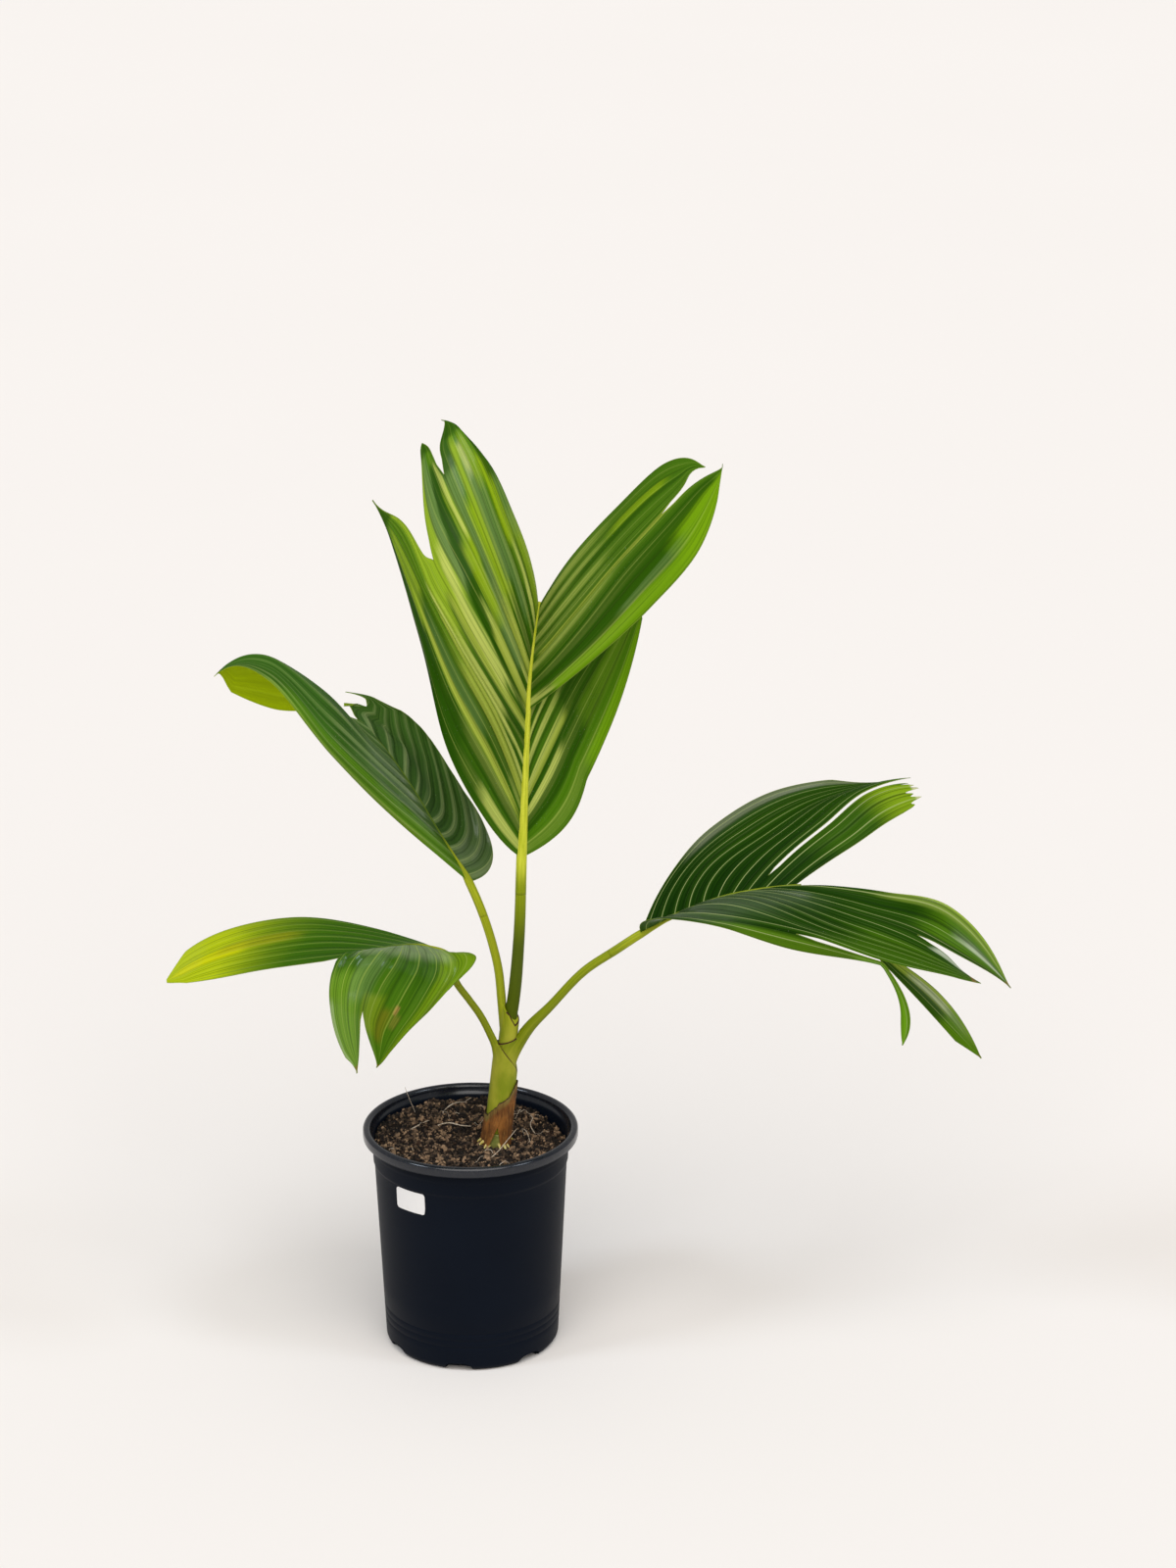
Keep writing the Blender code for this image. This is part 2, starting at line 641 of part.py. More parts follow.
# Right frond: arches over to the right, with a long slit in each half
RIGHT = Stalk(
    petiole=[
        (35, -13, 272, 5.4), (39, -14, 288, 5.8), (46, -14, 303, 5.9), (55, -15, 317, 5.2), (73, -16, 337, 4.3),
        (108, -18, 376, 4), (134, -20, 395, 4),
    ],
    rachis=[
        (157, -20, 411, 3.9), (177, -20, 423, 3.6), (205, -19, 436, 3.2), (233, -17, 446, 2.7),
        (260, -14, 451, 2.2), (297, -9, 454, 1.4),
    ],
)
RIGHT_FAR = Blade(
    ribs={
        0.00: [(185, 25, 453), (225, 60, 487), (292, 85, 515), (391, 85, 524)],
        0.40: [(228, 15, 461), (268, 40, 484), (322, 65, 509), (392, 78, 525)],
        0.75: [(284, 10, 468), (321, 30, 495), (369, 50, 526), (426, 62, 521)],
        1.00: [(322, 5, 467), (368, 18, 490), (403, 32, 512), (428, 45, 523)],
    },
    fingers=[
        Finger(0, 0.75, 0.3, folds=6, left=(9, 1.5), right=(1, 4)),
        Finger(0.75, 1, 1, folds=2, left=(1, 5)),
    ],
)
RIGHT_NEAR = Blade(
    ribs={
        0.00: [(201, -60, 440), (287, -85, 423), (370, -96, 412), (426, -96, 383)],
        0.08: [(207, -57, 440), (293, -88, 428), (375, -102, 417), (440, -95, 391)],
        0.25: [(237, -50, 453), (315, -82, 437), (392, -94, 416), (459, -84, 386)],
        0.60: [(282, -30, 453), (348, -50, 438), (405, -58, 417), (462, -64, 384)],
        0.80: [(306, -24, 455), (365, -32, 444), (430, -32, 422), (493, -30, 362)],
        0.90: [(322, -16, 452), (378, -18, 431), (440, -18, 396), (493, -20, 350)],
        0.96: [(326, -12, 449), (373, 0, 410), (425, 12, 352), (473, 12, 275)],
    },
    fingers=[
        Finger(0, 0.08, 0.02, folds=1, left=(9, 1), right=(5, 3), curl=(-44, 0, -55)),
        Finger(0.08, 0.66, 0.4, folds=4, left=(5, 4), right=(8, 1.5)),
        Finger(0.66, 0.88, 0.8, folds=2, left=(8, 1.5), right=(3, 4)),
        Finger(0.88, 0.96, 0.96, folds=1, left=(3, 1.5)),
    ],
    lobe=(-16, -4, 3),
)

# Lower left frond: heads left and forwards, one half spread to the left and the other hanging in front
LOWER_LEFT = Stalk(
    petiole=[
        (28, -14, 275, 5), (26, -15, 289, 4.2), (24, -17, 300, 3.6), (19, -20, 314, 3.3), (11, -25, 333, 3.3),
        (1, -31, 351, 3.3), (-10, -37, 370, 3.3),
    ],
    rachis=[
        (-17, -46, 400, 3.2), (-32, -60, 414, 2.9), (-48, -72, 421, 2.6), (-68, -88, 425, 2.2),
        (-87, -100, 426, 1.8), (-103, -110, 425, 1.4),
    ],
)
LOWER_LEFT_FAR = Blade(
    ribs={
        0.08: [(-82, -30, 421), (-151, -30, 432), (-220, -45, 423), (-262, -72, 403)],
        0.50: [(-110, -60, 425), (-163, -65, 425), (-220, -75, 414), (-267, -85, 391)],
        1.00: [(-148, -105, 416), (-185, -102, 408), (-226, -98, 398), (-257, -90, 390)],
    },
    fingers=[Finger(0.08, 1, 0.5, folds=6, left=(9, 2), right=(9, 2))],
)
LOWER_LEFT_NEAR = Blade(
    ribs={
        0.00: [(-3, -74, 396), (-29, -105, 376), (-56, -124, 357), (-79, -132, 328)],
        0.30: [(-30, -88, 404), (-43, -118, 385), (-62, -135, 360), (-78, -138, 330)],
        0.55: [(-70, -110, 420), (-83, -130, 404), (-90, -142, 378), (-89, -142, 332)],
        0.80: [(-100, -120, 425), (-109, -138, 405), (-107, -145, 370), (-95, -145, 329)],
        1.00: [(-113, -122, 424), (-118, -138, 400), (-113, -145, 364), (-97, -145, 329)],
    },
    fingers=[
        Finger(0, 0.55, 0.3, folds=4, right=(7, 1.3)),
        Finger(0.55, 1, 0.7, folds=3, left=(7, 3), right=(9, 1)),
    ],
    lobe=(12, -4, 9),
)


def main():
    clear_scene()
    make_pot(finish("pot_plastic", (0.012, 0.016, 0.024), 0.45))
    make_label(finish("label_paper", (0.85, 0.85, 0.85), 0.5))
    make_soil(finish("potting_mix", (0.035, 0.022, 0.014), 0.95))
    make_stem(finish("stem_green", (0.2, 0.24, 0.05), 0.5))
    make_dry_sheath(finish("dry_husk", (0.32, 0.15, 0.06), 0.75))
    greens = (finish("stalk_green", (0.27, 0.36, 0.05), 0.35), finish("blade_green", (0.05, 0.17, 0.02), 0.3))
    centre_blades = [CENTRE_LEFT, CENTRE_RIGHT_LOW, CENTRE_RIGHT_HIGH]
    make_frond("centre", CENTRE, centre_blades, CENTRE_SHEATH, greens)
    make_frond("upper_left", UPPER_LEFT, [UPPER_LEFT_NEAR, UPPER_LEFT_FAR], UPPER_LEFT_SHEATH, greens)
    make_frond("right", RIGHT, [RIGHT_NEAR, RIGHT_FAR], RIGHT_SHEATH, greens)
    make_frond("lower_left", LOWER_LEFT, [LOWER_LEFT_NEAR, LOWER_LEFT_FAR], LOWER_LEFT_SHEATH, greens)


main()
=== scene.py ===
"""The looks of a potted chambeyronia palm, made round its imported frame.

The sections follow the plant as it is potted and as it grows: pot, label, potting mix with its roots, stem,
dry sheath, the four living sheaths with their stalks, the four pleated blades with their midribs, and last
the studio. Meshes are in metres. Most sizes are written in millimetres and multiplied by MM.
"""

import math
from collections import namedtuple

import bmesh
import bpy
import numpy as np
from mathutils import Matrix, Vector, noise


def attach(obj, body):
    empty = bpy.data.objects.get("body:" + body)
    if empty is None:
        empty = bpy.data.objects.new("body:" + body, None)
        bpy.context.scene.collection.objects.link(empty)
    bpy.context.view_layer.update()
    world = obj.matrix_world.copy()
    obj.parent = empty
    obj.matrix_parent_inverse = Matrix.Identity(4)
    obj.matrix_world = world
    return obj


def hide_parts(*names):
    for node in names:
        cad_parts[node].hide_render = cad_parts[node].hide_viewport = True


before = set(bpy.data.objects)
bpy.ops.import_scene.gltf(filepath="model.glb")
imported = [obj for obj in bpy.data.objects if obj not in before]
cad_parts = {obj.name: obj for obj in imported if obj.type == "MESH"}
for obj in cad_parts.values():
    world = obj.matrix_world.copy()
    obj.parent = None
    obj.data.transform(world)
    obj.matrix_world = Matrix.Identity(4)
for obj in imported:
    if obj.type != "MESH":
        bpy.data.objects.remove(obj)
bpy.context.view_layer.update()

# The nursery pot is one piece of blow-moulded blue-black polythene. Its tapered wall steps out to a neck
# under a thick rolled rim, three faint rings run round it above the base, and seven drain notches cut the
# corner of its floor.
MM = 0.001


class Paint:
    """A socket of a material's node tree. Sums on it add Math nodes."""

    def __init__(self, tree, socket=None):
        self.tree = tree
        self.socket = socket

    def node(self, kind, values=(), output=0, stops=(), **settings):
        """Adds a node: its settings first, then the values or links of its sockets by name or number."""
        made = self.tree.nodes.new("ShaderNode" + kind)
        for name, setting in settings.items():
            setattr(made, name, setting)
        for stop, (position, colour) in enumerate(stops):
            if stop > 1:
                made.color_ramp.elements.new(position)
            made.color_ramp.elements[stop].position = position
            made.color_ramp.elements[stop].color = (*colour, 1)
        for name, value in dict(values).items():
            socket = made.inputs[name]
            if isinstance(value, Paint):
                self.tree.links.new(value.socket, socket)
            elif socket.type == "RGBA":
                socket.default_value = (*value, 1)
            else:
                socket.default_value = value
        return Paint(self.tree, made.outputs[output])

    def math(self, operation, *values):
        return self.node("Math", enumerate(values), operation=operation)

    def __add__(self, other):
        return self.math("ADD", self, other)

    def __sub__(self, other):
        return self.math("SUBTRACT", self, other)

    def __rsub__(self, other):
        return self.math("SUBTRACT", other, self)

    def __mul__(self, other):
        return self.math("MULTIPLY", self, other)

    __radd__ = __add__
    __rmul__ = __mul__

    def inside(self, low, high, soft):
        """1 from low to high, falling to 0 over the width of soft on either side."""
        return self.between(low - soft, low) * self.between(high + soft, high)

    def between(self, low, high):
        """0 at low, 1 at high and smooth between; low may be the larger."""
        values = {"Value": self, "From Min": low, "From Max": high}
        return self.node("MapRange", values, interpolation_type="SMOOTHSTEP")

    def blend(self, below, above):
        """The colour below where this is 0 and the colour above where it is 1."""
        return self.node("Mix", {0: self, 6: below, 7: above}, output=2, data_type="RGBA")

    def place(self):
        """Object coordinates."""
        return self.node("TexCoord", output="Object")

    def parts(self):
        """The three numbers of a vector."""
        made = self.node("SeparateXYZ", {0: self})
        return [Paint(self.tree, socket) for socket in made.socket.node.outputs]

    def stretched(self, x, y, z):
        """A vector scaled along each axis."""
        return self.node("Mapping", {"Vector": self, "Scale": (x, y, z)})

    def grain(self, scale, detail=2.0, roughness=0.5):
        """Noise from 0 to 1 over this vector."""
        values = {"Vector": self, "Scale": scale, "Detail": detail, "Roughness": roughness}
        return self.node("TexNoise", values)

    def bump(self, distance, strength=1.0):
        """A normal bent by this height."""
        return self.node("Bump", {"Height": self, "Distance": distance, "Strength": strength})


def finish(name, look):
    """A material whose Principled shader takes what look(paint) returns, by socket name."""
    material = bpy.data.materials.new(name)
    material.use_nodes = True
    tree = material.node_tree
    shader = tree.nodes["Principled BSDF"]
    for socket, value in look(Paint(tree)).items():
        if isinstance(value, Paint):
            tree.links.new(value.socket, shader.inputs[socket])
        else:
            shader.inputs[socket].default_value = value
    return material


def skin(rings, sides, closed=True, capped=True):
    """Faces over rings of points. closed joins the ends of each ring, and capped fills the end rings."""
    ring, side = np.meshgrid(np.arange(rings - 1), np.arange(sides if closed else sides - 1), indexing="ij")
    a = (ring * sides + side).ravel()
    b = (ring * sides + (side + 1) % sides).ravel()
    faces = np.column_stack([a, b, b + sides, a + sides]).tolist()
    if capped:
        faces.append(list(range(sides))[::-1])
        faces.append(list(range((rings - 1) * sides, rings * sides)))
    return faces


def added(name, data):
    """A new object in the scene."""
    obj = bpy.data.objects.new(name, data)
    bpy.context.scene.collection.objects.link(obj)
    return obj


def piece(name, points, faces, *materials):
    """A new object with this mesh, shaded smooth, with its own place in its mesh."""
    mesh = bpy.data.meshes.new(name)
    mesh.from_pydata(np.asarray(points, float).tolist(), [], faces)
    mesh.update()
    for material in materials:
        mesh.materials.append(material)
    mesh.shade_smooth()
    return added(name, mesh)


def applied(obj):
    """obj with its modifiers made part of a plain mesh."""
    bpy.context.view_layer.update()
    made = bpy.data.meshes.new_from_object(obj.evaluated_get(bpy.context.evaluated_depsgraph_get()))
    obj.modifiers.clear()
    obj.data = made
    return obj


def cut(obj, cutters, solver):
    """Cuts the cutters from obj and removes them."""
    for cutter in cutters:
        modifier = obj.modifiers.new("cut", "BOOLEAN")
        modifier.operation = "DIFFERENCE"
        modifier.solver = solver
        modifier.object = cutter
        applied(obj)
    for cutter in cutters:
        bpy.data.objects.remove(cutter)


def belongs(obj, slot, *nodes):
    """Rides with the plant and stands for the CAD nodes named, which it hides. slot is not used."""
    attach(obj, "root")
    if nodes:
        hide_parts(*nodes)


POT_SIDES = 168
POT_HEIGHT = 214
RIM_RADIUS = 100
RIM_ROLL = 3.75
BASE_RADIUS = 81
BASE_ROUND = 7
RING_HEIGHTS = (24, 31, 38)
NECK_FOOT = 182
NECK_RADIUS = 90.5
NECK_FLARE = 0.6
WALL = 1.8
FLOOR = 2.4
NOTCHES = 7
NOTCH_HALF_WIDTH = 13.5
NOTCH_HEIGHT = 7.5
FIRST_NOTCH_DEG = -98
NOTCH_DEPTH = (69, 86)
POT_NAVY = ((0.0016, 0.0033, 0.0075), (0.003, 0.0055, 0.0115))
POT_SCUFF = (0.014, 0.017, 0.022)
POT_DUST = (0.04, 0.04, 0.04)


def wall_radius(height):
    """Outside radius in mm of the tapered wall below the neck."""
    return BASE_RADIUS + (height - BASE_ROUND) / (NECK_FOOT - BASE_ROUND) * (NECK_RADIUS - 1 - BASE_RADIUS)


def arc(middle, radius, start, end, count):
    """(radius, height) of points along an arc, between two directions in degrees."""
    turn = np.radians(np.linspace(start, end, count))
    return [(middle[0] + radius * math.cos(a), middle[1] + radius * math.sin(a)) for a in turn]


def pot_profile():
    """(radius, height) in mm from the middle of the base, up the outside, over the rim and down inside."""
    foot_ring = [(0, 1.2), (58, 1.2), (60, 1.0), (62, 0.15), (64, 0)]
    corner = arc((BASE_RADIUS - BASE_ROUND, BASE_ROUND), BASE_ROUND, -90, 0, 9)
    rings = []
    for height in RING_HEIGHTS:
        for rise, depth in ((-1.1, 0), (-0.5, 0.28), (0, 0.36), (0.5, 0.28), (1.1, 0)):
            rings.append((wall_radius(height + rise) - depth, height + rise))
    below = [(wall_radius(z), z) for z in (12, 18)]
    above = [(wall_radius(z), z) for z in (60, 100, 140, 170, 179)]
    step = [(NECK_RADIUS - 0.85, 180.4), (NECK_RADIUS - 0.35, 181.2), (NECK_RADIUS, NECK_FOOT), (90.6, 184)]
    neck = [(90.85, 193), (90.95, 194.2), (91.25, 195.2), (91.3, 197), (NECK_RADIUS + NECK_FLARE, 203)]
    under_rim = [(92, 203.9), (96.8, 204.1)] + arc((98.3, 205.6), 1.5, -80, 0, 5)
    roll = arc((RIM_RADIUS - RIM_ROLL, POT_HEIGHT - RIM_ROLL), RIM_ROLL, 20, 180, 16)
    inside = [(91.6, 207), (89.9, 204.5), (89.35, 203.5), (89.2, 195.4), (88.75, 194.6), (88.7, NECK_FOOT)]
    inside += [(wall_radius(180) - WALL, 180), (BASE_RADIUS - WALL, 9), (75, FLOOR), (0, FLOOR)]
    return foot_ring + corner + below + rings + above + step + neck + under_rim + roll + inside


def turned(profile, sides):
    """Points and faces of a profile turned about Z, which starts and ends on the axis."""
    turn = np.arange(sides) * 2 * math.pi / sides
    inner = np.array(profile[1:-1])
    rings = np.empty((len(inner), sides, 3))
    rings[..., 0] = inner[:, :1] * np.cos(turn)
    rings[..., 1] = inner[:, :1] * np.sin(turn)
    rings[..., 2] = inner[:, 1:]
    points = np.concatenate([rings.reshape(-1, 3), [(0, 0, profile[0][1]), (0, 0, profile[-1][1])]]) * MM
    faces = skin(len(inner), sides, capped=False)
    last_ring = (len(inner) - 1) * sides
    count = len(inner) * sides
    for side in range(sides):
        after = (side + 1) % sides
        faces.append((count, after, side))
        faces.append((count + 1, last_ring + side, last_ring + after))
    return points, faces


def drain_notches():
    """Cutters for the notches between the wall and the base, with rounded heads."""
    cutters = []
    head = [
        (NOTCH_HALF_WIDTH * math.cos(a) ** 0.6, NOTCH_HEIGHT * math.sin(a) ** 0.8)
        for a in np.radians(np.linspace(2, 88, 12))
    ]
    right = [(NOTCH_HALF_WIDTH + 0.4, -2), (NOTCH_HALF_WIDTH, 0)] + head
    outline = right + [(-x, z) for x, z in right[::-1]]
    for i in range(NOTCHES):
        around = math.radians(FIRST_NOTCH_DEG) + i * 2 * math.pi / NOTCHES
        points = []
        for radius in NOTCH_DEPTH:
            for x, z in outline:
                across = x * radius / BASE_RADIUS
                points.append((
                    (radius * math.cos(around) - across * math.sin(around)) * MM,
                    (radius * math.sin(around) + across * math.cos(around)) * MM,
                    z * MM,
                ))
        cutters.append(piece(f"notch_{i}", points, skin(2, len(outline))))
    return cutters


def pot_look(paint):
    place = paint.place()
    height = place.parts()[2]
    clouds = place.grain(14, 4)
    grain = place.grain(1500, 2)
    scuffs = place.stretched(90, 90, 900).grain(1.0, 3, 0.6).between(0.66, 0.8)
    dust = place.grain(260, 4, 0.7).between(0.5, 0.75) * height.between(0.2, 0.212) * 0.4
    colour = (scuffs * 0.3).blend(clouds.blend(*POT_NAVY), POT_SCUFF)
    colour = dust.blend(colour, POT_DUST)
    on_rim = height.between(0.2045, 0.206)
    return {
        "Base Color": colour,
        "Roughness": 0.4 + clouds * 0.08 + grain * 0.08 + scuffs * 0.08,
        "Specular IOR Level": 0.06,
        "Coat Weight": on_rim * 0.9,
        "Coat Roughness": 0.16,
        "Normal": (grain + clouds * 3).bump(0.0001, 0.35),
    }


pot = piece("pot_body", *turned(pot_profile(), POT_SIDES), finish("pot_plastic", pot_look))
cut(pot, drain_notches(), "EXACT")
pot.data.set_sharp_from_angle(angle=math.radians(40))
belongs(pot, "pot_plastic", "pot")

# The label is a small white paper sticker with rounded corners, pressed on the pot's wall. It is left bare.
LABEL_SIZE = (33, 21)
LABEL_CORNER = 3
LABEL_MIDDLE = 169
LABEL_SIDE_DEG = -37
LABEL_STANDS_OFF = (0.75, 0.35)
LIFTED_CORNER = 0.9


def thin_body(rows, columns):
    """Faces of a closed sheet: two grids of rows of points, one over the other, and the rim between them."""
    half = rows * columns
    sheet = skin(rows, columns, closed=False, capped=False)
    faces = [face[::-1] for face in sheet] + [[i + half for i in face] for face in sheet]
    loop = list(range(columns)) + [row * columns + columns - 1 for row in range(1, rows)]
    loop += [half - 1 - column for column in range(1, columns)]
    loop += [row * columns for row in range(rows - 2, 0, -1)]
    return faces + [(a, b, b + half, a + half) for a, b in zip(loop, loop[1:] + loop[:1])]


def label_skin():
    """Points and faces of the sticker, bent to the wall and less tall where its corners are round."""
    half_width, half_height = LABEL_SIZE[0] / 2, LABEL_SIZE[1] / 2
    straight = half_width - LABEL_CORNER
    ends = straight + LABEL_CORNER * np.sin(np.linspace(0, math.pi / 2, 7))
    across = np.concatenate([-ends[::-1], np.linspace(-straight, straight, 25)[1:-1], ends])
    past = np.clip(np.abs(across) - straight, 0, LABEL_CORNER)
    reach = half_height - LABEL_CORNER + np.sqrt(LABEL_CORNER**2 - past**2)
    up = np.linspace(-1, 1, 15)
    points = []
    for stands_off in LABEL_STANDS_OFF:
        for x, tall in zip(across, reach):
            for share in up:
                z = LABEL_MIDDLE + share * tall
                lifted = max(0, (x / half_width - 0.8) / 0.2) ** 2 * max(0, (-share - 0.3) / 0.7) ** 2
                radius = wall_radius(z) + stands_off + LIFTED_CORNER * lifted
                around = math.radians(LABEL_SIDE_DEG - 90) + x / radius
                points.append((radius * math.cos(around) * MM, radius * math.sin(around) * MM, z * MM))
    return points, thin_body(len(across), len(up))


def paper_look(paint):
    place = paint.place()
    pulp = place.grain(900, 4, 0.65)
    stain = place.grain(120, 3).between(0.52, 0.75)
    return {
        "Base Color": (stain * 0.5).blend((0.74, 0.73, 0.72), (0.69, 0.67, 0.64)),
        "Roughness": 0.42 + pulp * 0.16,
        "Normal": pulp.bump(0.00008, 0.4),
    }


label = piece("pot_label", *label_skin(), finish("label_paper", paper_look))
label.data.set_sharp_from_angle(angle=math.radians(50))
belongs(label, "label_paper", "label")

# The potting mix is a dark plug of bark, coir and compost, heaped at the back left and sunk from the wall at
# the right. Crumbs, bark chips, tan scraps and fibres lie loose on it, and a few thin roots stick out.
SOIL_LEVEL = 201
SOIL_RINGS = 46
SOIL_CLEAR = 0.4
HOLE_RADIUS = 13.2
HOLE_FOOT = 156
MIX_BLACK = (0.002, 0.0013, 0.001)
STEM_FOOT = np.array([24.0, -13.0, 200.0])
STEM_LEAN = 0.11


def stem_axis(height):
    """(x, y) in mm of the stem's axis at a height, or at many."""
    height = np.asarray(height)
    return STEM_FOOT[0] + (height - STEM_FOOT[2]) * STEM_LEAN, STEM_FOOT[1] + 0 * height


def mound(x, y, middle, width):
    """1 in the middle of a round-topped mound and falling to 0 over about its width."""
    return math.exp(-(((x - middle[0]) / width[0]) ** 2) - ((y - middle[1]) / width[1]) ** 2)


def soil_height(x, y):
    """Height of the mix in mm. It rises round the stem."""
    heap = 5 * mound(x, y, (-35, 25), (45, 40))
    sunk = 9 * mound(x, y, (72, 20), (28, 45))
    place = Vector((x, y, 0)) * 0.09
    lumps = noise.noise(place) + 0.6 * noise.noise(place * 2.3)
    fine = 0.36 * noise.noise(place * 7) + 0.26 * noise.noise(place * 17)
    from_stem = max(0.0, math.hypot(x - STEM_FOOT[0], y - STEM_FOOT[1]) / 17 - 1)
    return SOIL_LEVEL + heap - sunk + 4.5 * (lumps * min(1, from_stem) + fine)


def soil_skin():
    """Points and faces of the plug, with a plain hole for the stem."""
    turn = np.arange(POT_SIDES) * 2 * math.pi / POT_SIDES
    way = np.stack([np.cos(turn), np.sin(turn)], axis=1)
    hole = np.array(stem_axis(178.0)) + way * HOLE_RADIUS
    rings = []
    for radius, height in ((73, FLOOR + SOIL_CLEAR), (78.6, 10), (wall_radius(180) - WALL - 0.5, 180)):
        rings.append(np.column_stack([way * radius, np.full(POT_SIDES, height)]))
    for share in np.linspace(0, 1, SOIL_RINGS):
        flat = (1 - share) * way * (NECK_RADIUS - WALL - SOIL_CLEAR) + share * hole
        rings.append(np.column_stack([flat, [soil_height(x, y) for x, y in flat]]))
    rings.append(np.column_stack([hole, np.full(POT_SIDES, HOLE_FOOT)]))
    return np.concatenate(rings) * MM, skin(len(rings), POT_SIDES)


def mix_look(paint):
    place = paint.place()
    lumps = place.grain(220, 5, 0.65)
    crumbs = place.grain(900, 3, 0.6)
    colour = lumps.between(0.35, 0.7).blend(MIX_BLACK, (0.014, 0.008, 0.004))
    return {
        "Base Color": (crumbs.between(0.62, 0.8) * 0.6).blend(colour, (0.05, 0.028, 0.014)),
        "Roughness": 0.85 + lumps * 0.12,
        "Specular IOR Level": 0.25,
        "Normal": (lumps + crumbs * 0.5).bump(0.0012, 0.9),
    }


soil = piece("mix_plug", *soil_skin(), finish("potting_mix", mix_look))
belongs(soil, "potting_mix", "soil")


class Tree:
    """A Geometry Nodes tree being built, with named inputs."""

    def __init__(self, name):
        self.group = bpy.data.node_groups.new(name, "GeometryNodeTree")
        self.group.interface.new_socket("Geometry", in_out="INPUT", socket_type="NodeSocketGeometry")
        self.group.interface.new_socket("Geometry", in_out="OUTPUT", socket_type="NodeSocketGeometry")
        self.start = self.group.nodes.new("NodeGroupInput")
        self.end = self.group.nodes.new("NodeGroupOutput")

    def takes(self, name, kind):
        """Adds a named input and returns its socket."""
        self.group.interface.new_socket(name, in_out="INPUT", socket_type="NodeSocket" + kind)
        return self.start.outputs[name]

    def node(self, kind, values=(), output=0, prefix="GeometryNode", **settings):
        made = self.group.nodes.new(prefix + kind)
        for name, setting in settings.items():
            setattr(made, name, setting)
        for name, value in dict(values).items():
            if isinstance(value, bpy.types.NodeSocket):
                self.group.links.new(value, made.inputs[name])
            else:
                made.inputs[name].default_value = value
        return made.outputs[output]

    def test(self, operation, first, second, kind="Compare"):
        """Whether something holds of two fields, for each face."""
        return self.node(kind, {0: first, 1: second}, 0, "FunctionNode", operation=operation)

    def chance(self, kind, low, high, seed):
        """A random number or vector for each point."""
        first, output = (2, 1) if kind == "FLOAT" else (0, 0)
        values = {first: low, first + 1: high, 8: seed}
        return self.node("RandomValue", values, output, "FunctionNode", data_type=kind)

    def ends_with(self, geometry, material):
        """Makes instances real, gives them their material and hands the result out."""
        realized = self.node("RealizeInstances", {0: geometry})
        coloured = self.node("SetMaterial", {"Geometry": realized, "Material": material})
        self.group.links.new(coloured, self.end.inputs[0])

    def run(self, name, host, **values):
        """A plain mesh of what the tree makes on the host's mesh."""
        obj = added(name, host.data.copy())
        modifier = obj.modifiers.new(name, "NODES")
        modifier.node_group = self.group
        for item in self.group.interface.items_tree:
            if item.in_out == "INPUT" and item.name in values:
                modifier[item.identifier] = values[item.name]
        return applied(obj)


LUMPY = (0.65, 1.3)
TOP_FROM = 182 * MM


def crumb_shape(seed, size, divisions):
    """A small broken lump, for instances."""
    lump = bmesh.new()
    bmesh.ops.create_icosphere(lump, subdivisions=divisions, radius=1)
    draw = np.random.default_rng(seed)
    for vertex in lump.verts:
        vertex.co = Vector(np.array(vertex.co) * size * draw.uniform(*LUMPY)) * MM
    mesh = bpy.data.meshes.new("loose_shape")
    lump.to_mesh(mesh)
    lump.free()
    return added("loose_shape", mesh)


def scatter_tree(name, shape, material):
    """Instances of one shape over the top of the mix, turned, sized and tinted at random."""
    tree = Tree(name)
    inputs = ("Density", "Smallest", "Largest", "Lightest", "Furthest")
    density, smallest, largest, lightest, furthest = (tree.takes(each, "Float") for each in inputs)
    seed = tree.takes("Seed", "Int")
    place = tree.node("InputPosition")
    up = tree.node("SeparateXYZ", {0: tree.node("InputNormal")}, 2, "ShaderNode")
    height = tree.node("SeparateXYZ", {0: place}, 2, "ShaderNode")
    flat = tree.node("VectorMath", {0: place, 1: (1, 1, 0)}, 0, "ShaderNode", operation="MULTIPLY")
    away = tree.node("VectorMath", {0: flat}, 1, "ShaderNode", operation="LENGTH")
    facing_up, on_top = tree.test("GREATER_THAN", up, 0.2), tree.test("GREATER_THAN", height, TOP_FROM)
    on_top = tree.test("AND", facing_up, on_top, "BooleanMath")
    chosen = tree.test("AND", on_top, tree.test("LESS_THAN", away, furthest), "BooleanMath")
    spread = {"Mesh": tree.start.outputs[0], "Selection": chosen, "Density": density, "Seed": seed}
    points = tree.node("DistributePointsOnFaces", spread)
    size = tree.chance("FLOAT", smallest, largest, 3)
    turn = tree.chance("FLOAT_VECTOR", (0, 0, 0), (6.3, 6.3, 6.3), 5)
    lump = tree.node("ObjectInfo", {0: shape}, "Geometry")
    lumps = {"Points": points, "Instance": lump, "Rotation": turn, "Scale": size}
    placed = tree.node("InstanceOnPoints", lumps)
    tint = {"Geometry": placed, "Name": "tint", "Value": tree.chance("FLOAT", 0.0, lightest, 7)}
    named = tree.node("StoreNamedAttribute", tint, domain="INSTANCE", data_type="FLOAT")
    tree.ends_with(named, material)
    return tree


# Most lumps are nearly black, some brown and a few tan. The first two stops are the ends of the ramp.
CRUMB_TINTS = [
    (0, MIX_BLACK),
    (1, (0.6, 0.38, 0.22)),
    (0.7, (0.006, 0.0035, 0.0025)),
    (0.95, (0.045, 0.022, 0.01)),
]


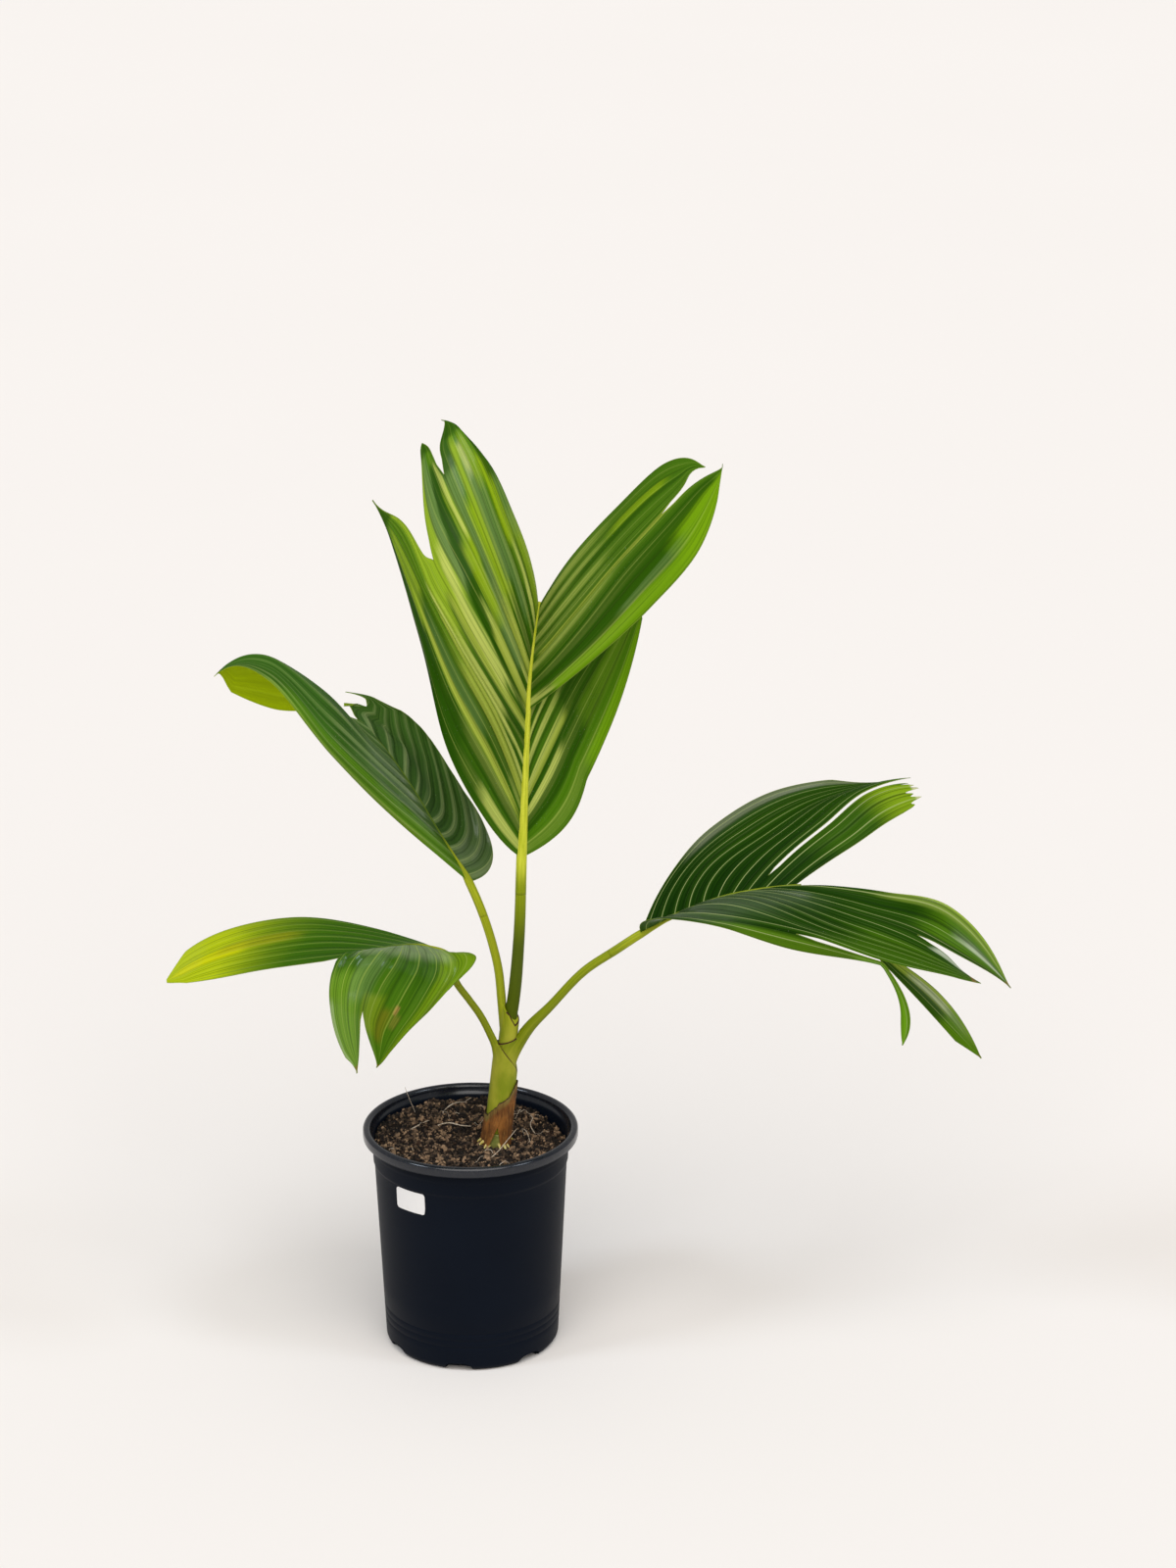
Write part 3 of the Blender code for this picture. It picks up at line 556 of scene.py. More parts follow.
def crumb_look(paint):
    tint = paint.node("Attribute", output="Fac", attribute_name="tint")
    grain = paint.place().grain(1400, 3, 0.6)
    colour = tint.node("ValToRGB", {0: tint}, stops=CRUMB_TINTS)
    shade = paint.place().grain(95, 3).between(0.56, 0.42) * tint.between(0.96, 0.93) * 0.85
    colour = shade.blend(colour, MIX_BLACK)
    return {
        "Base Color": (grain * 0.3).blend(colour, (0.006, 0.0035, 0.002)),
        "Roughness": 0.75 + grain * 0.2,
        "Specular IOR Level": 0.3,
        "Normal": grain.bump(0.0004, 0.8),
    }


crumb_finish = finish("mix_crumb", crumb_look)
# name, size of the lump along X, Y and Z in mm, its divisions, how many to a square metre, scale from and to,
# and how pale the palest is
LOOSE_LAYERS = [
    ("mix_crumbs", (1.3, 1.0, 0.9), 1, 150000.0, 0.5, 1.8, 0.95),
    ("mix_clods", (2.1, 1.7, 1.4), 2, 16000.0, 0.5, 1.7, 0.97),
    ("bark_chips", (3.0, 1.7, 1.1), 2, 6000.0, 0.6, 1.3, 1.0),
]
for layer, (name, size, divisions, density, smallest, largest, lightest) in enumerate(LOOSE_LAYERS):
    shape = crumb_shape(layer, np.array(size), divisions)
    loose = scatter_tree(name, shape, crumb_finish).run(
        name, soil, Seed=layer, Density=density, Smallest=smallest, Largest=largest, Lightest=lightest,
        Furthest=(NECK_RADIUS - size[0] * LUMPY[1] * largest) * MM,
    )
    belongs(loose, "potting_mix")
    bpy.data.objects.remove(shape)


def sweep_tree(material, sides):
    """A round tube along every chain of edges, as thick as the edge points say."""
    tree = Tree("sweep")
    thickness = tree.takes("Thickness", "Float")
    line = tree.node("MeshToCurve", {0: tree.start.outputs[0]})
    own = tree.node("InputNamedAttribute", {"Name": "thick"}, 0, data_type="FLOAT")
    radius = tree.node("Math", {0: own, 1: thickness}, 0, "ShaderNode", operation="MULTIPLY")
    ring = tree.node("CurvePrimitiveCircle", {"Resolution": sides, "Radius": 1.0}, mode="RADIUS")
    sweep = {"Curve": line, "Profile Curve": ring, "Scale": radius, "Fill Caps": True}
    smooth = tree.node("SetShadeSmooth", {"Geometry": tree.node("CurveToMesh", sweep)})
    tree.ends_with(smooth, material)
    return tree


def chains(name, lines, material, sides=6):
    """Tubes along lines of (x, y, z, radius) in mm."""
    points = np.concatenate([np.array(line, float) for line in lines])
    mesh = bpy.data.meshes.new(name)
    ends = np.cumsum([len(line) for line in lines])
    edges = [(i, i + 1) for i in range(len(points) - 1) if i + 1 not in ends]
    mesh.from_pydata((points[:, :3] * MM).tolist(), edges, [])
    thick = mesh.attributes.new("thick", "FLOAT", "POINT")
    thick.data.foreach_set("value", points[:, 3].astype(np.float32))
    host = bpy.data.objects.new("route", mesh)
    made = sweep_tree(material, sides).run(name, host, Thickness=MM)
    bpy.data.objects.remove(host)
    return made


def curve(knots, values, at):
    """Smooth curves through the values at the knots, read at the places `at`.

    values is (knots, n) for one shared curve, or (places, knots, n) for a curve of its own at each place.
    """
    knots, values, at = (np.asarray(x, float) for x in (knots, values, at))
    slopes = np.gradient(values, knots, axis=-2, edge_order=2 if len(knots) > 2 else 1)
    left = np.clip(np.searchsorted(knots, at, side="right") - 1, 0, len(knots) - 2)
    span = (knots[left + 1] - knots[left])[:, None]
    t = (at - knots[left])[:, None] / span
    own = (np.arange(len(at)),) if values.ndim == 3 else ()
    start, end = values[(*own, left)], values[(*own, left + 1)]
    leave, arrive = slopes[(*own, left)] * span, slopes[(*own, left + 1)] * span
    return (
        (2 * t**3 - 3 * t**2 + 1) * start
        + (t**3 - 2 * t**2 + t) * leave
        + (3 * t**2 - 2 * t**3) * end
        + (t**3 - t**2) * arrive
    )


def through(points, count):
    """A smooth line of `count` points through a few."""
    knots = np.arange(len(points))
    return curve(knots, np.array(points, float), np.linspace(0, len(points) - 1, count))


def root_look(paint):
    place = paint.place()
    grain = place.grain(700, 3)
    return {
        "Base Color": grain.between(0.35, 0.7).blend((0.34, 0.25, 0.17), (0.62, 0.55, 0.45)),
        "Roughness": 0.6 + grain * 0.2,
        "Normal": grain.bump(0.0003, 0.5),
    }


# Roots that show in particular places, as (x, y, z, radius) in mm. Short fibres then lie about at random.
ROOTS = [
    [(-52, 47, 202, 0.45), (-55, 42, 212, 0.45), (-58, 37, 223, 0.35), (-62, 35, 236, 0.2)],
    [(-28, 44, 203, 0.45), (-24, 50, 208, 0.5), (-16, 60, 209, 0.5), (-6, 73, 204, 0.4)],
    [(16, -55, 202, 0.5), (26, -40, 204, 0.55), (35, -24, 209, 0.5), (43, -11, 214, 0.3)],
    [(52, 58, 197, 0.4), (57, 44, 201, 0.5), (55, 30, 200, 0.45), (60, 18, 196, 0.3)],
    [(46, 22, 198, 0.45), (51, 12, 202, 0.45), (55, -2, 197, 0.3)],
    [(-36, 10, 205, 0.5), (-22, 14, 209, 0.7), (-8, 10, 208, 0.6), (4, 18, 204, 0.4)],
    [(-62, 8, 201, 0.5), (-50, 14, 206, 0.7), (-40, 24, 207, 0.5)],
]
FIBRES = 26
FIBRE_STEPS = 6
FIBRES_START = 84
FIBRES_END = 87
CLEAR_OF_STEM = 15
draw = np.random.default_rng(11)
lines = [through(root, 14) for root in ROOTS]
for _ in range(FIBRES):
    around, away = draw.uniform(0, 2 * math.pi), FIBRES_START * math.sqrt(draw.uniform(0, 1))
    heading, bend = draw.uniform(0, 2 * math.pi), draw.uniform(-0.25, 0.25)
    x, y = away * math.cos(around), away * math.sin(around)
    length, radius, lift = draw.uniform(1, 3.4), draw.uniform(0.15, 0.4), draw.uniform(0.6, 2.6)
    line = []
    for step in range(FIBRE_STEPS + 1):
        from_stem = math.hypot(x - STEM_FOOT[0], y - STEM_FOOT[1])
        if math.hypot(x, y) > FIBRES_END or from_stem < CLEAR_OF_STEM:
            break
        line.append((x, y, soil_height(x, y) + 0.6 + lift * math.sin(math.pi * step / FIBRE_STEPS), radius))
        heading += bend
        x += length * math.cos(heading)
        y += length * math.sin(heading)
    if len(line) > 3:
        lines.append(line)
roots = chains("loose_roots", lines, finish("root_tan", root_look))
belongs(roots, "potting_mix")

# The stem is short and olive green. It comes out of the mix with a few yellow root nubs at its foot, and ends
# inside the sheaths, which hide all but a wedge of it.
STEM_RADIUS = 12
STEM_TOP = 214
STEM_SIDES = 64
STEM_RINGS = 40


def stem_ring(height, radius, turn):
    """A ring of points in mm round the stem's axis, whose height and radius may differ round it."""
    x, y = stem_axis(height)
    return np.column_stack([x + radius * np.cos(turn), y + radius * np.sin(turn), height + 0 * turn])


def stem_skin():
    """Points and faces of the stem, a little swollen at its foot."""
    turn = np.arange(STEM_SIDES) * 2 * math.pi / STEM_SIDES
    rings = []
    for z in np.linspace(HOLE_FOOT + SOIL_CLEAR, STEM_TOP, STEM_RINGS):
        swell = STEM_RADIUS + 0.5 * math.exp(-(((z - STEM_FOOT[2]) / 9) ** 2))
        ripple = 0.18 * np.sin(9 * turn + z * 0.1) + 0.12 * np.sin(23 * turn)
        rings.append(stem_ring(z, swell + ripple, turn))
    return np.concatenate(rings) * MM, skin(STEM_RINGS, STEM_SIDES)


def stem_look(paint):
    place = paint.place()
    height = place.parts()[2]
    fibres = place.stretched(900, 900, 60).grain(1.0, 3)
    patches = place.grain(160, 3)
    green = patches.between(0.35, 0.7).blend((0.16, 0.19, 0.03), (0.3, 0.3, 0.07))
    brown = height.between(0.206, 0.199) * 0.6 + fibres.between(0.55, 0.75) * 0.35
    return {
        "Base Color": brown.blend(green, (0.14, 0.075, 0.025)),
        "Roughness": 0.45 + fibres * 0.2,
        "Normal": fibres.bump(0.0004, 0.6),
    }


stem = piece("stem_core", *stem_skin(), finish("stem_green", stem_look))
belongs(stem, "stem_green", "stem")

# Nubs and short roots at the foot, as (degrees round from +X, length, radius) in mm
NUBS = [
    (215, 5, 1.6), (232, 4, 1.4), (243, 6, 1.2), (283, 3.5, 1.5), (301, 4.5, 1.7),
    (318, 3, 1.3), (190, 4, 1.3), (30, 4, 1.4), (95, 5, 1.3), (140, 4, 1.2),
]
NUB_HEIGHT = 203.5
lines = []
for degrees, length, radius in NUBS:
    way = np.array([math.cos(math.radians(degrees)), math.sin(math.radians(degrees))])
    foot = STEM_FOOT[:2] + way * (STEM_RADIUS - 0.5)
    middle, tip = foot + way * length * 0.6, foot + way * (length + 2)
    # This sine only makes the heights uneven.
    rise = NUB_HEIGHT + 1.5 * math.sin(degrees)
    route = [(*foot, rise, radius), (*middle, rise + 0.8, radius), (*tip, rise - 1.5, radius * 0.45)]
    lines.append(through(route, 9))


def nub_look(paint):
    grain = paint.place().grain(500, 3)
    return {
        "Base Color": grain.between(0.3, 0.7).blend((0.42, 0.33, 0.05), (0.6, 0.52, 0.2)),
        "Roughness": 0.5 + grain * 0.15,
        "Normal": grain.bump(0.0004, 0.5),
    }


nubs = chains("root_nubs", lines, finish("nub_yellow", nub_look), 10)
belongs(nubs, "stem_green")

# The dry sheath is what is left of the oldest leaf's base: a papery, fibrous, orange-brown husk wrapped round
# the stem. It is ragged along its slanting top and split open low in front, and above the split one margin
# laps over the other.
HUSK_RADIUS = 13.3
HUSK_THICKNESS = 0.45
HUSK_FOOT = 190
HUSK_TOP = 250
HUSK_SPLIT = 224
HUSK_LAP_DEG = 16
HUSK_COLUMNS = 180
HUSK_ROWS = 70
# (degrees round from +X, height) of the top edge
HUSK_EDGE = [
    (0, 263), (30, 262), (150, 236), (180, 233), (215, 233), (239, 239), (263, 246), (300, 252), (330, 263),
]


def rough(x, y=0.0):
    """Noise from -1 to 1, for uneven folds and edges."""
    return noise.noise(Vector((x, y, 0)))


def husk_skin():
    """Points, faces and the depth of each point below the husk's top edge."""
    inner, outer, depth = [], [], []
    for row in range(HUSK_ROWS + 1):
        share = row / HUSK_ROWS
        level = HUSK_FOOT + share * (HUSK_TOP - HUSK_FOOT)
        open_by = max(0.0, (HUSK_SPLIT - level) / (HUSK_SPLIT - HUSK_FOOT))
        lap = HUSK_LAP_DEG * min(1, max(0, (level - HUSK_SPLIT) / 10))
        first, last = 270 + 33 * open_by - lap / 2, 270 - 44 * open_by + lap / 2 + 360
        for column in range(HUSK_COLUMNS + 1):
            across = column / HUSK_COLUMNS
            degrees = first + across * (last - first)
            ragged = 1.6 * rough(degrees * 0.11, 3.1) + 0.8 * rough(degrees * 0.5)
            top = np.interp(degrees % 360, *zip(*HUSK_EDGE), period=360) + ragged
            z = HUSK_FOOT + share * (top - HUSK_FOOT)
            x, y = stem_axis(z)
            a = math.radians(degrees)
            folds = 0.35 * math.sin(a * 11 + z * 0.05) + 0.22 * math.sin(a * 29 + 1)
            folds += 0.5 * rough(a * 3, z * 0.05)
            lapped = 0.9 * max(0.0, across - 0.93) / 0.07
            flared = 0.8 * open_by * max(0.0, 0.05 - min(across, 1 - across)) / 0.05
            radius = HUSK_RADIUS + 1.2 * (1 - share) ** 2 + folds * (0.35 + 0.65 * (1 - share)) * 0.8
            radius += lapped + flared
            x -= 1.5 * (1 - share)
            depth.append(top - z)
            for points, out in ((inner, radius), (outer, radius + HUSK_THICKNESS)):
                points.append((x + out * math.cos(a), y + out * math.sin(a), z))
    return np.array(inner + outer) * MM, thin_body(HUSK_ROWS + 1, HUSK_COLUMNS + 1), depth + depth


def keep(obj, name, values):
    """Stores a number for each point of obj, for its material."""
    layer = obj.data.attributes.new(name, "FLOAT", "POINT")
    layer.data.foreach_set("value", np.asarray(values, np.float32))


def read(paint, name):
    """A number kept for each point."""
    return paint.node("Attribute", output="Fac", attribute_name=name)


def husk_look(paint):
    place = paint.place()
    depth = read(paint, "depth")
    fibres = place.stretched(1500, 1500, 70).grain(1.0, 4, 0.6)
    patches = place.stretched(1, 1, 0.4).grain(120, 4, 0.6)
    blotches = place.grain(60, 3)
    colour = patches.between(0.3, 0.72).blend((0.1, 0.034, 0.006), (0.33, 0.125, 0.022))
    colour = (fibres.between(0.52, 0.75) * 0.7).blend(colour, (0.42, 0.22, 0.055))
    colour = (fibres.between(0.46, 0.3) * 0.6).blend(colour, (0.05, 0.02, 0.006))
    colour = (blotches.between(0.55, 0.7) * 0.5).blend(colour, (0.1, 0.04, 0.015))
    collar = depth.between(9, 4) * (0.4 + 0.6 * patches.between(0.4, 0.6))
    colour = collar.blend(colour, (0.2, 0.15, 0.035))
    colour = depth.between(1.3, 0.5).blend(colour, (0.035, 0.015, 0.008))
    return {
        "Base Color": colour,
        "Roughness": 0.6 + fibres * 0.3,
        "Specular IOR Level": 0.3,
        "Normal": (fibres + patches * 1.5).bump(0.0009, 0.8),
    }


points, faces, depth = husk_skin()
husk = piece("dry_husk", points, faces, finish("dry_husk", husk_look))
keep(husk, "depth", depth)
belongs(husk, "dry_husk", "dry_sheath")

# Each living sheath is a pale green tube wrapped round the younger ones, with a slanting top edge that has
# dried dark brown. It runs straight up into its stalk, which is smooth, yellow-green and a little glossy, and
# the stalk into the midrib of the blade.
BLADE_JOINT = 32
SHEATH_FOOT = STEM_TOP + 0.35
SHEATH_VOXEL = 0.75
SHEATH_SIDES = 96
SHEATH_RINGS = 60
BORE_ENDS = (190, 380.0)
ROUND_FROM = 45
ROUND_OVER = 30
# outside radius, bore, (degrees, height) of the top edge, and between which degrees the edge has dried dark
Sheath = namedtuple("Sheath", "outside bore edge dark_from dark_to")
SHEATHS = {
    "lower_left": Sheath(12.1, 10.75, [(10, 274), (110, 300), (180, 303), (237, 302), (350, 274)], 232, 372),
    "right": Sheath(10.3, 9.05, [(0, 310), (120, 303), (200, 302), (244, 304), (350, 310)], 120, 322),
    "upper_left": Sheath(
        8.6, 6.2, [(0, 325), (60, 330), (180, 342), (259, 332), (306, 321), (340, 323)], 236, 400,
    ),
    "centre": Sheath(5.8, 0, [(0, 340)], 0, 0),
}


class Stalk:
    """The axis of a leaf, from inside its sheath to the end of its midrib."""

    def __init__(self, petiole, rachis):
        """Points of (x, y, z, radius) in mm. The first ribs leave from the first point of the rachis."""
        self.points = np.array(petiole + rachis, float)
        steps = np.linalg.norm(np.diff(self.points[:, :3], axis=0), axis=1)
        self.knots = np.concatenate([[0], np.cumsum(steps)])
        self.blade_start = self.knots[len(petiole)]
        self.length = self.knots[-1]
        self.joint = self.blade_start - BLADE_JOINT

    def at(self, lengths):
        """(x, y, z, radius) at lengths along the axis."""
        return curve(self.knots, self.points, np.asarray(lengths, float))

    def rachis(self, shares):
        """Points at shares of the part that the ribs leave from."""
        return self.at(self.blade_start + np.asarray(shares, float) * (self.length - self.blade_start))[:, :3]

    def tube(self, start, end, sides, grow=0.0, thins_to=1.0):
        """Points and faces round part of the axis, and how far along it and round it each point is.

        grow adds to its radius, and past the first ribs the tube soon thins to thins_to of it.
        """
        lengths = np.linspace(start, end, round((end - start) / 2.5) + 2)
        places = self.at(lengths)
        heading = self.at(lengths + 0.1)[:, :3] - places[:, :3]
        heading /= np.linalg.norm(heading, axis=1)[:, None]
        across = np.cross([0, 1, 0], heading)
        across /= np.linalg.norm(across, axis=1)[:, None]
        rise = np.cross(heading, across)
        turn = np.arange(sides) * 2 * math.pi / sides
        thinner = 1 + (thins_to - 1) * np.clip((lengths - self.blade_start) / 25, 0, 1)
        radii = (places[:, 3] + grow) * thinner
        way = np.cos(turn)[None, :, None] * across[:, None] + np.sin(turn)[None, :, None] * rise[:, None]
        points = (places[:, None, :3] + radii[:, None, None] * way).reshape(-1, 3)
        return points, skin(len(lengths), sides), np.repeat(lengths, sides), np.tile(turn, len(lengths))


STALKS = {
    "centre": Stalk(
        petiole=[(37, -13, 320, 5.8), (41, -13, 345, 5.7), (46, -12, 400, 5.3)],
        rachis=[(49, -8, 480, 4.8), (53, -2, 586, 3.8), (57, 3, 648, 2.8), (65, 8, 711, 1.7)],
    ),
    "upper_left": Stalk(
        petiole=[
            (34, -13, 300, 4.6), (32, -12, 319, 4.2), (30, -11, 343, 4), (27, -8, 373, 4), (22, -5, 395, 4),
        ],
        rachis=[
            (1, 4, 452, 3.9), (-29, 10, 503, 3.4), (-47, 12, 535, 2.9), (-71, 15, 572, 2.2),
            (-91, 18, 596, 1.5),
        ],
    ),
    "right": Stalk(
        petiole=[
            (35, -13, 272, 5.4), (39, -14, 288, 5.8), (46, -14, 303, 5.9), (55, -15, 317, 5.2),
            (73, -16, 337, 4.3), (108, -18, 376, 4), (134, -20, 395, 4),
        ],
        rachis=[
            (157, -20, 411, 3.9), (177, -20, 423, 3.6), (205, -19, 436, 3.2), (233, -17, 446, 2.7),
            (260, -14, 451, 2.2), (297, -9, 454, 1.4),
        ],
    ),
    "lower_left": Stalk(
        petiole=[
            (28, -14, 275, 5), (26, -15, 289, 4.2), (24, -17, 300, 3.6), (19, -20, 314, 3.3),
            (11, -25, 333, 3.3), (1, -31, 351, 3.3), (-10, -37, 370, 3.3),
        ],
        rachis=[
            (-17, -46, 400, 3.2), (-32, -60, 414, 2.9), (-48, -72, 421, 2.6), (-68, -88, 425, 2.2),
            (-87, -100, 426, 1.8), (-103, -110, 425, 1.4),
        ],
    ),
}


def sheath_edge(sheath, degrees):
    """Height of the sheath's top edge, for each direction."""
    return np.interp(np.asarray(degrees) % 360, *zip(*sheath.edge), period=360)


def sleeve(radius, foot, edge):
    """A closed tube round the stem's axis, from a foot up to an edge that may slant."""
    turn = np.radians(np.arange(SHEATH_SIDES) * 360 / SHEATH_SIDES)
    rings = []
    for share in np.linspace(0, 1, SHEATH_RINGS):
        belly = radius * (1 + 0.015 * np.sin(share * math.pi))
        rings.append(stem_ring(foot + share * (edge - foot), belly, turn))
    return np.concatenate(rings), skin(SHEATH_RINGS, SHEATH_SIDES)


def from_axis(stalk, points, start, end):
    """For each point the nearest length along the stalk, its offset from the axis there, and the radius."""
    lengths = np.linspace(start, end, 500)
    places = stalk.at(lengths)
    nearest = np.concatenate([
        np.argmin(((part[:, None] - places[None, :, :3]) ** 2).sum(axis=2), axis=1)
        for part in np.array_split(points, max(1, len(points) // 4000))
    ])
    return lengths[nearest], points - places[nearest, :3], places[nearest, 3]


def stalk_look(green, lime, shade_share, pale_to):
    """The look of a sheath and stalk: pale and speckled low down, clearer and greener up the stalk."""

    def look(paint):
        place = paint.place()
        along, dried, around = (read(paint, name) for name in ("along", "dried", "around"))
        streaks = paint.node("CombineXYZ", {0: around * 9, 1: along * 0.012, 2: 0.0}).grain(1.0, 4, 0.6)
        speckle = place.grain(1300, 2, 0.6).between(0.62, 0.74)
        patches = place.stretched(1, 1, 0.5).grain(55, 3)
        scurf = place.grain(420, 4, 0.7).between(0.55, 0.75)
        pale = patches.between(0.35, 0.65).blend((0.2, 0.24, 0.012), (0.34, 0.34, 0.03))
        pale = (scurf * 0.25).blend(pale, (0.18, 0.23, 0.01))
        pale = (speckle * 0.45).blend(pale, (0.12, 0.17, 0.01))
        fresh = streaks.between(0.35, 0.68).blend(green, lime)
        # Painted shade: the lower stalk, in the shadow between the sheaths, is darkened towards a deep olive.
        fresh = (along.between(132, 72) * shade_share).blend(fresh, (0.05, 0.075, 0.001))
        colour = along.between(pale_to - 30, pale_to).blend(pale, fresh)
        colour = dried.between(0.2, 0.75).blend(colour, (0.05, 0.02, 0.012))
        return {
            "Base Color": colour,
            "Roughness": 0.36 + patches * 0.12 + along.between(40, 0) * 0.14 + dried * 0.2,
            "Specular IOR Level": 0.07,
            "Coat Weight": 0.08 * along.between(20, 60),
            "Coat Roughness": 0.2,
            "Normal": (streaks * 2 + place.grain(700, 3)).bump(0.0003, 0.35),
        }

    return look


# Each stalk's two greens, how strongly painted shade darkens its lower part, which stands in the shadow of
# the sheaths, and how far up in mm the sheath's pale colours reach
STALK_LOOKS = {
    "centre": ((0.16, 0.21, 0.002), (0.26, 0.3, 0.004), 0.93, 0),
    "upper_left": ((0.2, 0.24, 0.004), (0.36, 0.38, 0.015), 0.1, 38),
    "right": ((0.15, 0.2, 0.003), (0.27, 0.3, 0.01), 0.25, 38),
    "lower_left": ((0.14, 0.18, 0.003), (0.27, 0.3, 0.012), 0.1, 38),
}


def shape_of(obj):
    """The points of obj's mesh in mm."""
    shape = np.empty(len(obj.data.vertices) * 3, np.float32)
    obj.data.vertices.foreach_get("co", shape)
    return shape.reshape(-1, 3).astype(float) / MM


def grown_together(name, sheath, stalk):
    """A sheath and its stalk as one smooth body: remeshed, and the stalk then brought back to its radius."""
    around = np.arange(SHEATH_SIDES) * 360 / SHEATH_SIDES
    outer, outer_faces = sleeve(sheath.outside, SHEATH_FOOT, sheath_edge(sheath, around))
    tube, tube_faces, _, _ = stalk.tube(0, stalk.joint, 32, grow=0.2)
    faces = outer_faces + [[i + len(outer) for i in face] for face in tube_faces]
    obj = piece(f"{name}_stalk", np.concatenate([outer, tube]) * MM, faces)
    remesh = obj.modifiers.new("grown", "REMESH")
    remesh.mode = "VOXEL"
    remesh.voxel_size = SHEATH_VOXEL * MM
    even = obj.modifiers.new("even", "SMOOTH")
    even.factor = 0.5
    even.iterations = 10
    shape = shape_of(applied(obj))
    length, offset, radius = from_axis(stalk, shape, 0, stalk.joint)
    out = np.linalg.norm(offset, axis=1)
    clear = np.clip((length - ROUND_FROM) / ROUND_OVER, 0, 1)
    clear = clear * (out > radius * 0.6) * (stalk.joint - length > 0.5)
    shape += offset / np.maximum(out, 1e-6)[:, None] * (clear * (radius - 0.05 - out))[:, None]
    obj.data.vertices.foreach_set("co", (shape * MM).astype(np.float32).ravel())
    return obj


for name, sheath in SHEATHS.items():
    stalk = STALKS[name]
    obj = grown_together(name, sheath, stalk)
    if sheath.bore:
        bore, bore_faces = sleeve(sheath.bore, BORE_ENDS[0], np.full(SHEATH_SIDES, BORE_ENDS[1]))
        cut(obj, [piece("bore", bore * MM, bore_faces)], "MANIFOLD")
    shape = shape_of(obj)
    length, offset, _ = from_axis(stalk, shape, 0, stalk.joint)
    x, y = stem_axis(shape[:, 2])
    degrees = np.degrees(np.arctan2(shape[:, 1] - y, shape[:, 0] - x)) % 360
    on_sheath = np.hypot(shape[:, 0] - x, shape[:, 1] - y) < sheath.outside + 0.9
    dark = (degrees - sheath.dark_from) % 360 < sheath.dark_to - sheath.dark_from
    from_edge = np.abs(sheath_edge(sheath, degrees) - shape[:, 2])
    rise = shape[:, 2] - stalk.points[0, 2]
    keep(obj, "dried", np.clip(1.4 - from_edge / 1.1, 0, 1) * on_sheath * dark)
    keep(obj, "along", np.maximum(length, rise) * (rise > 0))
    keep(obj, "around", np.arctan2(offset[:, 1], offset[:, 0]))
    obj.data.materials.clear()
    obj.data.materials.append(finish(f"{name}_stalk_green", stalk_look(*STALK_LOOKS[name])))
    obj.data.shade_smooth()
    obj.data.set_sharp_from_angle(angle=math.radians(50))
    belongs(obj, "stalk_green", f"{name}_petiole")

# Each blade is a thin, stiff, glossy sheet, pleated along its ribs, that the young leaf has torn into a few
# broad fingers. Its ribs leave the midrib on both sides, and each half is closed all round by its own rim.
RIB_KNOTS = np.linspace(0, 1, 5)
GUIDE_ROWS = 10
ROWS = 90
PLEAT_COLUMNS = 14
BLADE_THICKNESS = 0.5
PLEAT_RISE = 1.1
RIB_HEIGHT = 0.25
SWAY = 0.4
SLIT = 0.012
NO_SLIT_FROM = 9
TORN_FROM = 7
TIP_WIDTH = 1.2
HALF_OFFSET = 20

# A finger's first, last and tip ribs, as the shares of the rachis where they leave, and how many pleats it
# has. left and right are (row of ten, power) where each margin starts to close on the tip. Between two
# fingers that row is the bottom of a slit. curl is how far in mm the finger is bent aside, from the row
# curl_from to its tip and by curl_power of the way, and hook is how far its very tip is. blunt is how much of
# the tip stays open, and ragged how far its torn end reaches back.
Finger = namedtuple(
    "Finger",
    "first last tip pleats left right curl curl_from curl_power hook blunt ragged",
    defaults=((9, 1), (9, 1), (0, 0, 0), 8, 2, (0, 0, 0), 0, 0),
)


class Blade:
    """One half of a leaf's blade."""

    def __init__(self, ribs, fingers, lobe=(0, 0, 0), pleat=2.2, crinkle=0.0, slant=0.0, turned_over=False):
        """ribs: {share of the rachis where one leaves: its points in mm at each quarter of its length}.

        lobe is how far the lowest part bulges below the first rib, pleat how deep the pleats are, and crinkle
        how creased the sheet is by the rachis, all in mm. slant is how many pleats further down the margin
        the lowest pleats end than they would by these ribs. turned_over says that the ribs are listed the
        other way round as seen from above.
        """
        self.shares = np.array(sorted(ribs))
        self.guides = np.array([ribs[share] for share in self.shares], float)
        self.fingers = fingers
        self.lobe = np.array(lobe, float)
        self.pleat = pleat
        self.crinkle = crinkle
        self.slant = slant
        self.turned_over = turned_over

    def sheet(self, stalk, share, along):
        """Points of the flat blade, from shares of the rachis and of the ribs."""
        guides = self.guides.reshape(len(self.shares), -1)
        later = curve(self.shares, guides, share).reshape(len(share), 4, 3)
        controls = np.concatenate([stalk.rachis(share)[:, None], later], axis=1)
        near_base = np.clip(1 - share / 0.25, 0, 1) ** 2
        bulge = near_base * np.sin(math.pi * np.clip(along / 0.35, 0, 1))
        return curve(RIB_KNOTS, controls, along) + bulge[:, None] * self.lobe


def past(start, row):
    """How far a row is along the rows from a start to the last, from 0 to 1."""
    return np.clip((row - start) / (GUIDE_ROWS - start), 0, 1)


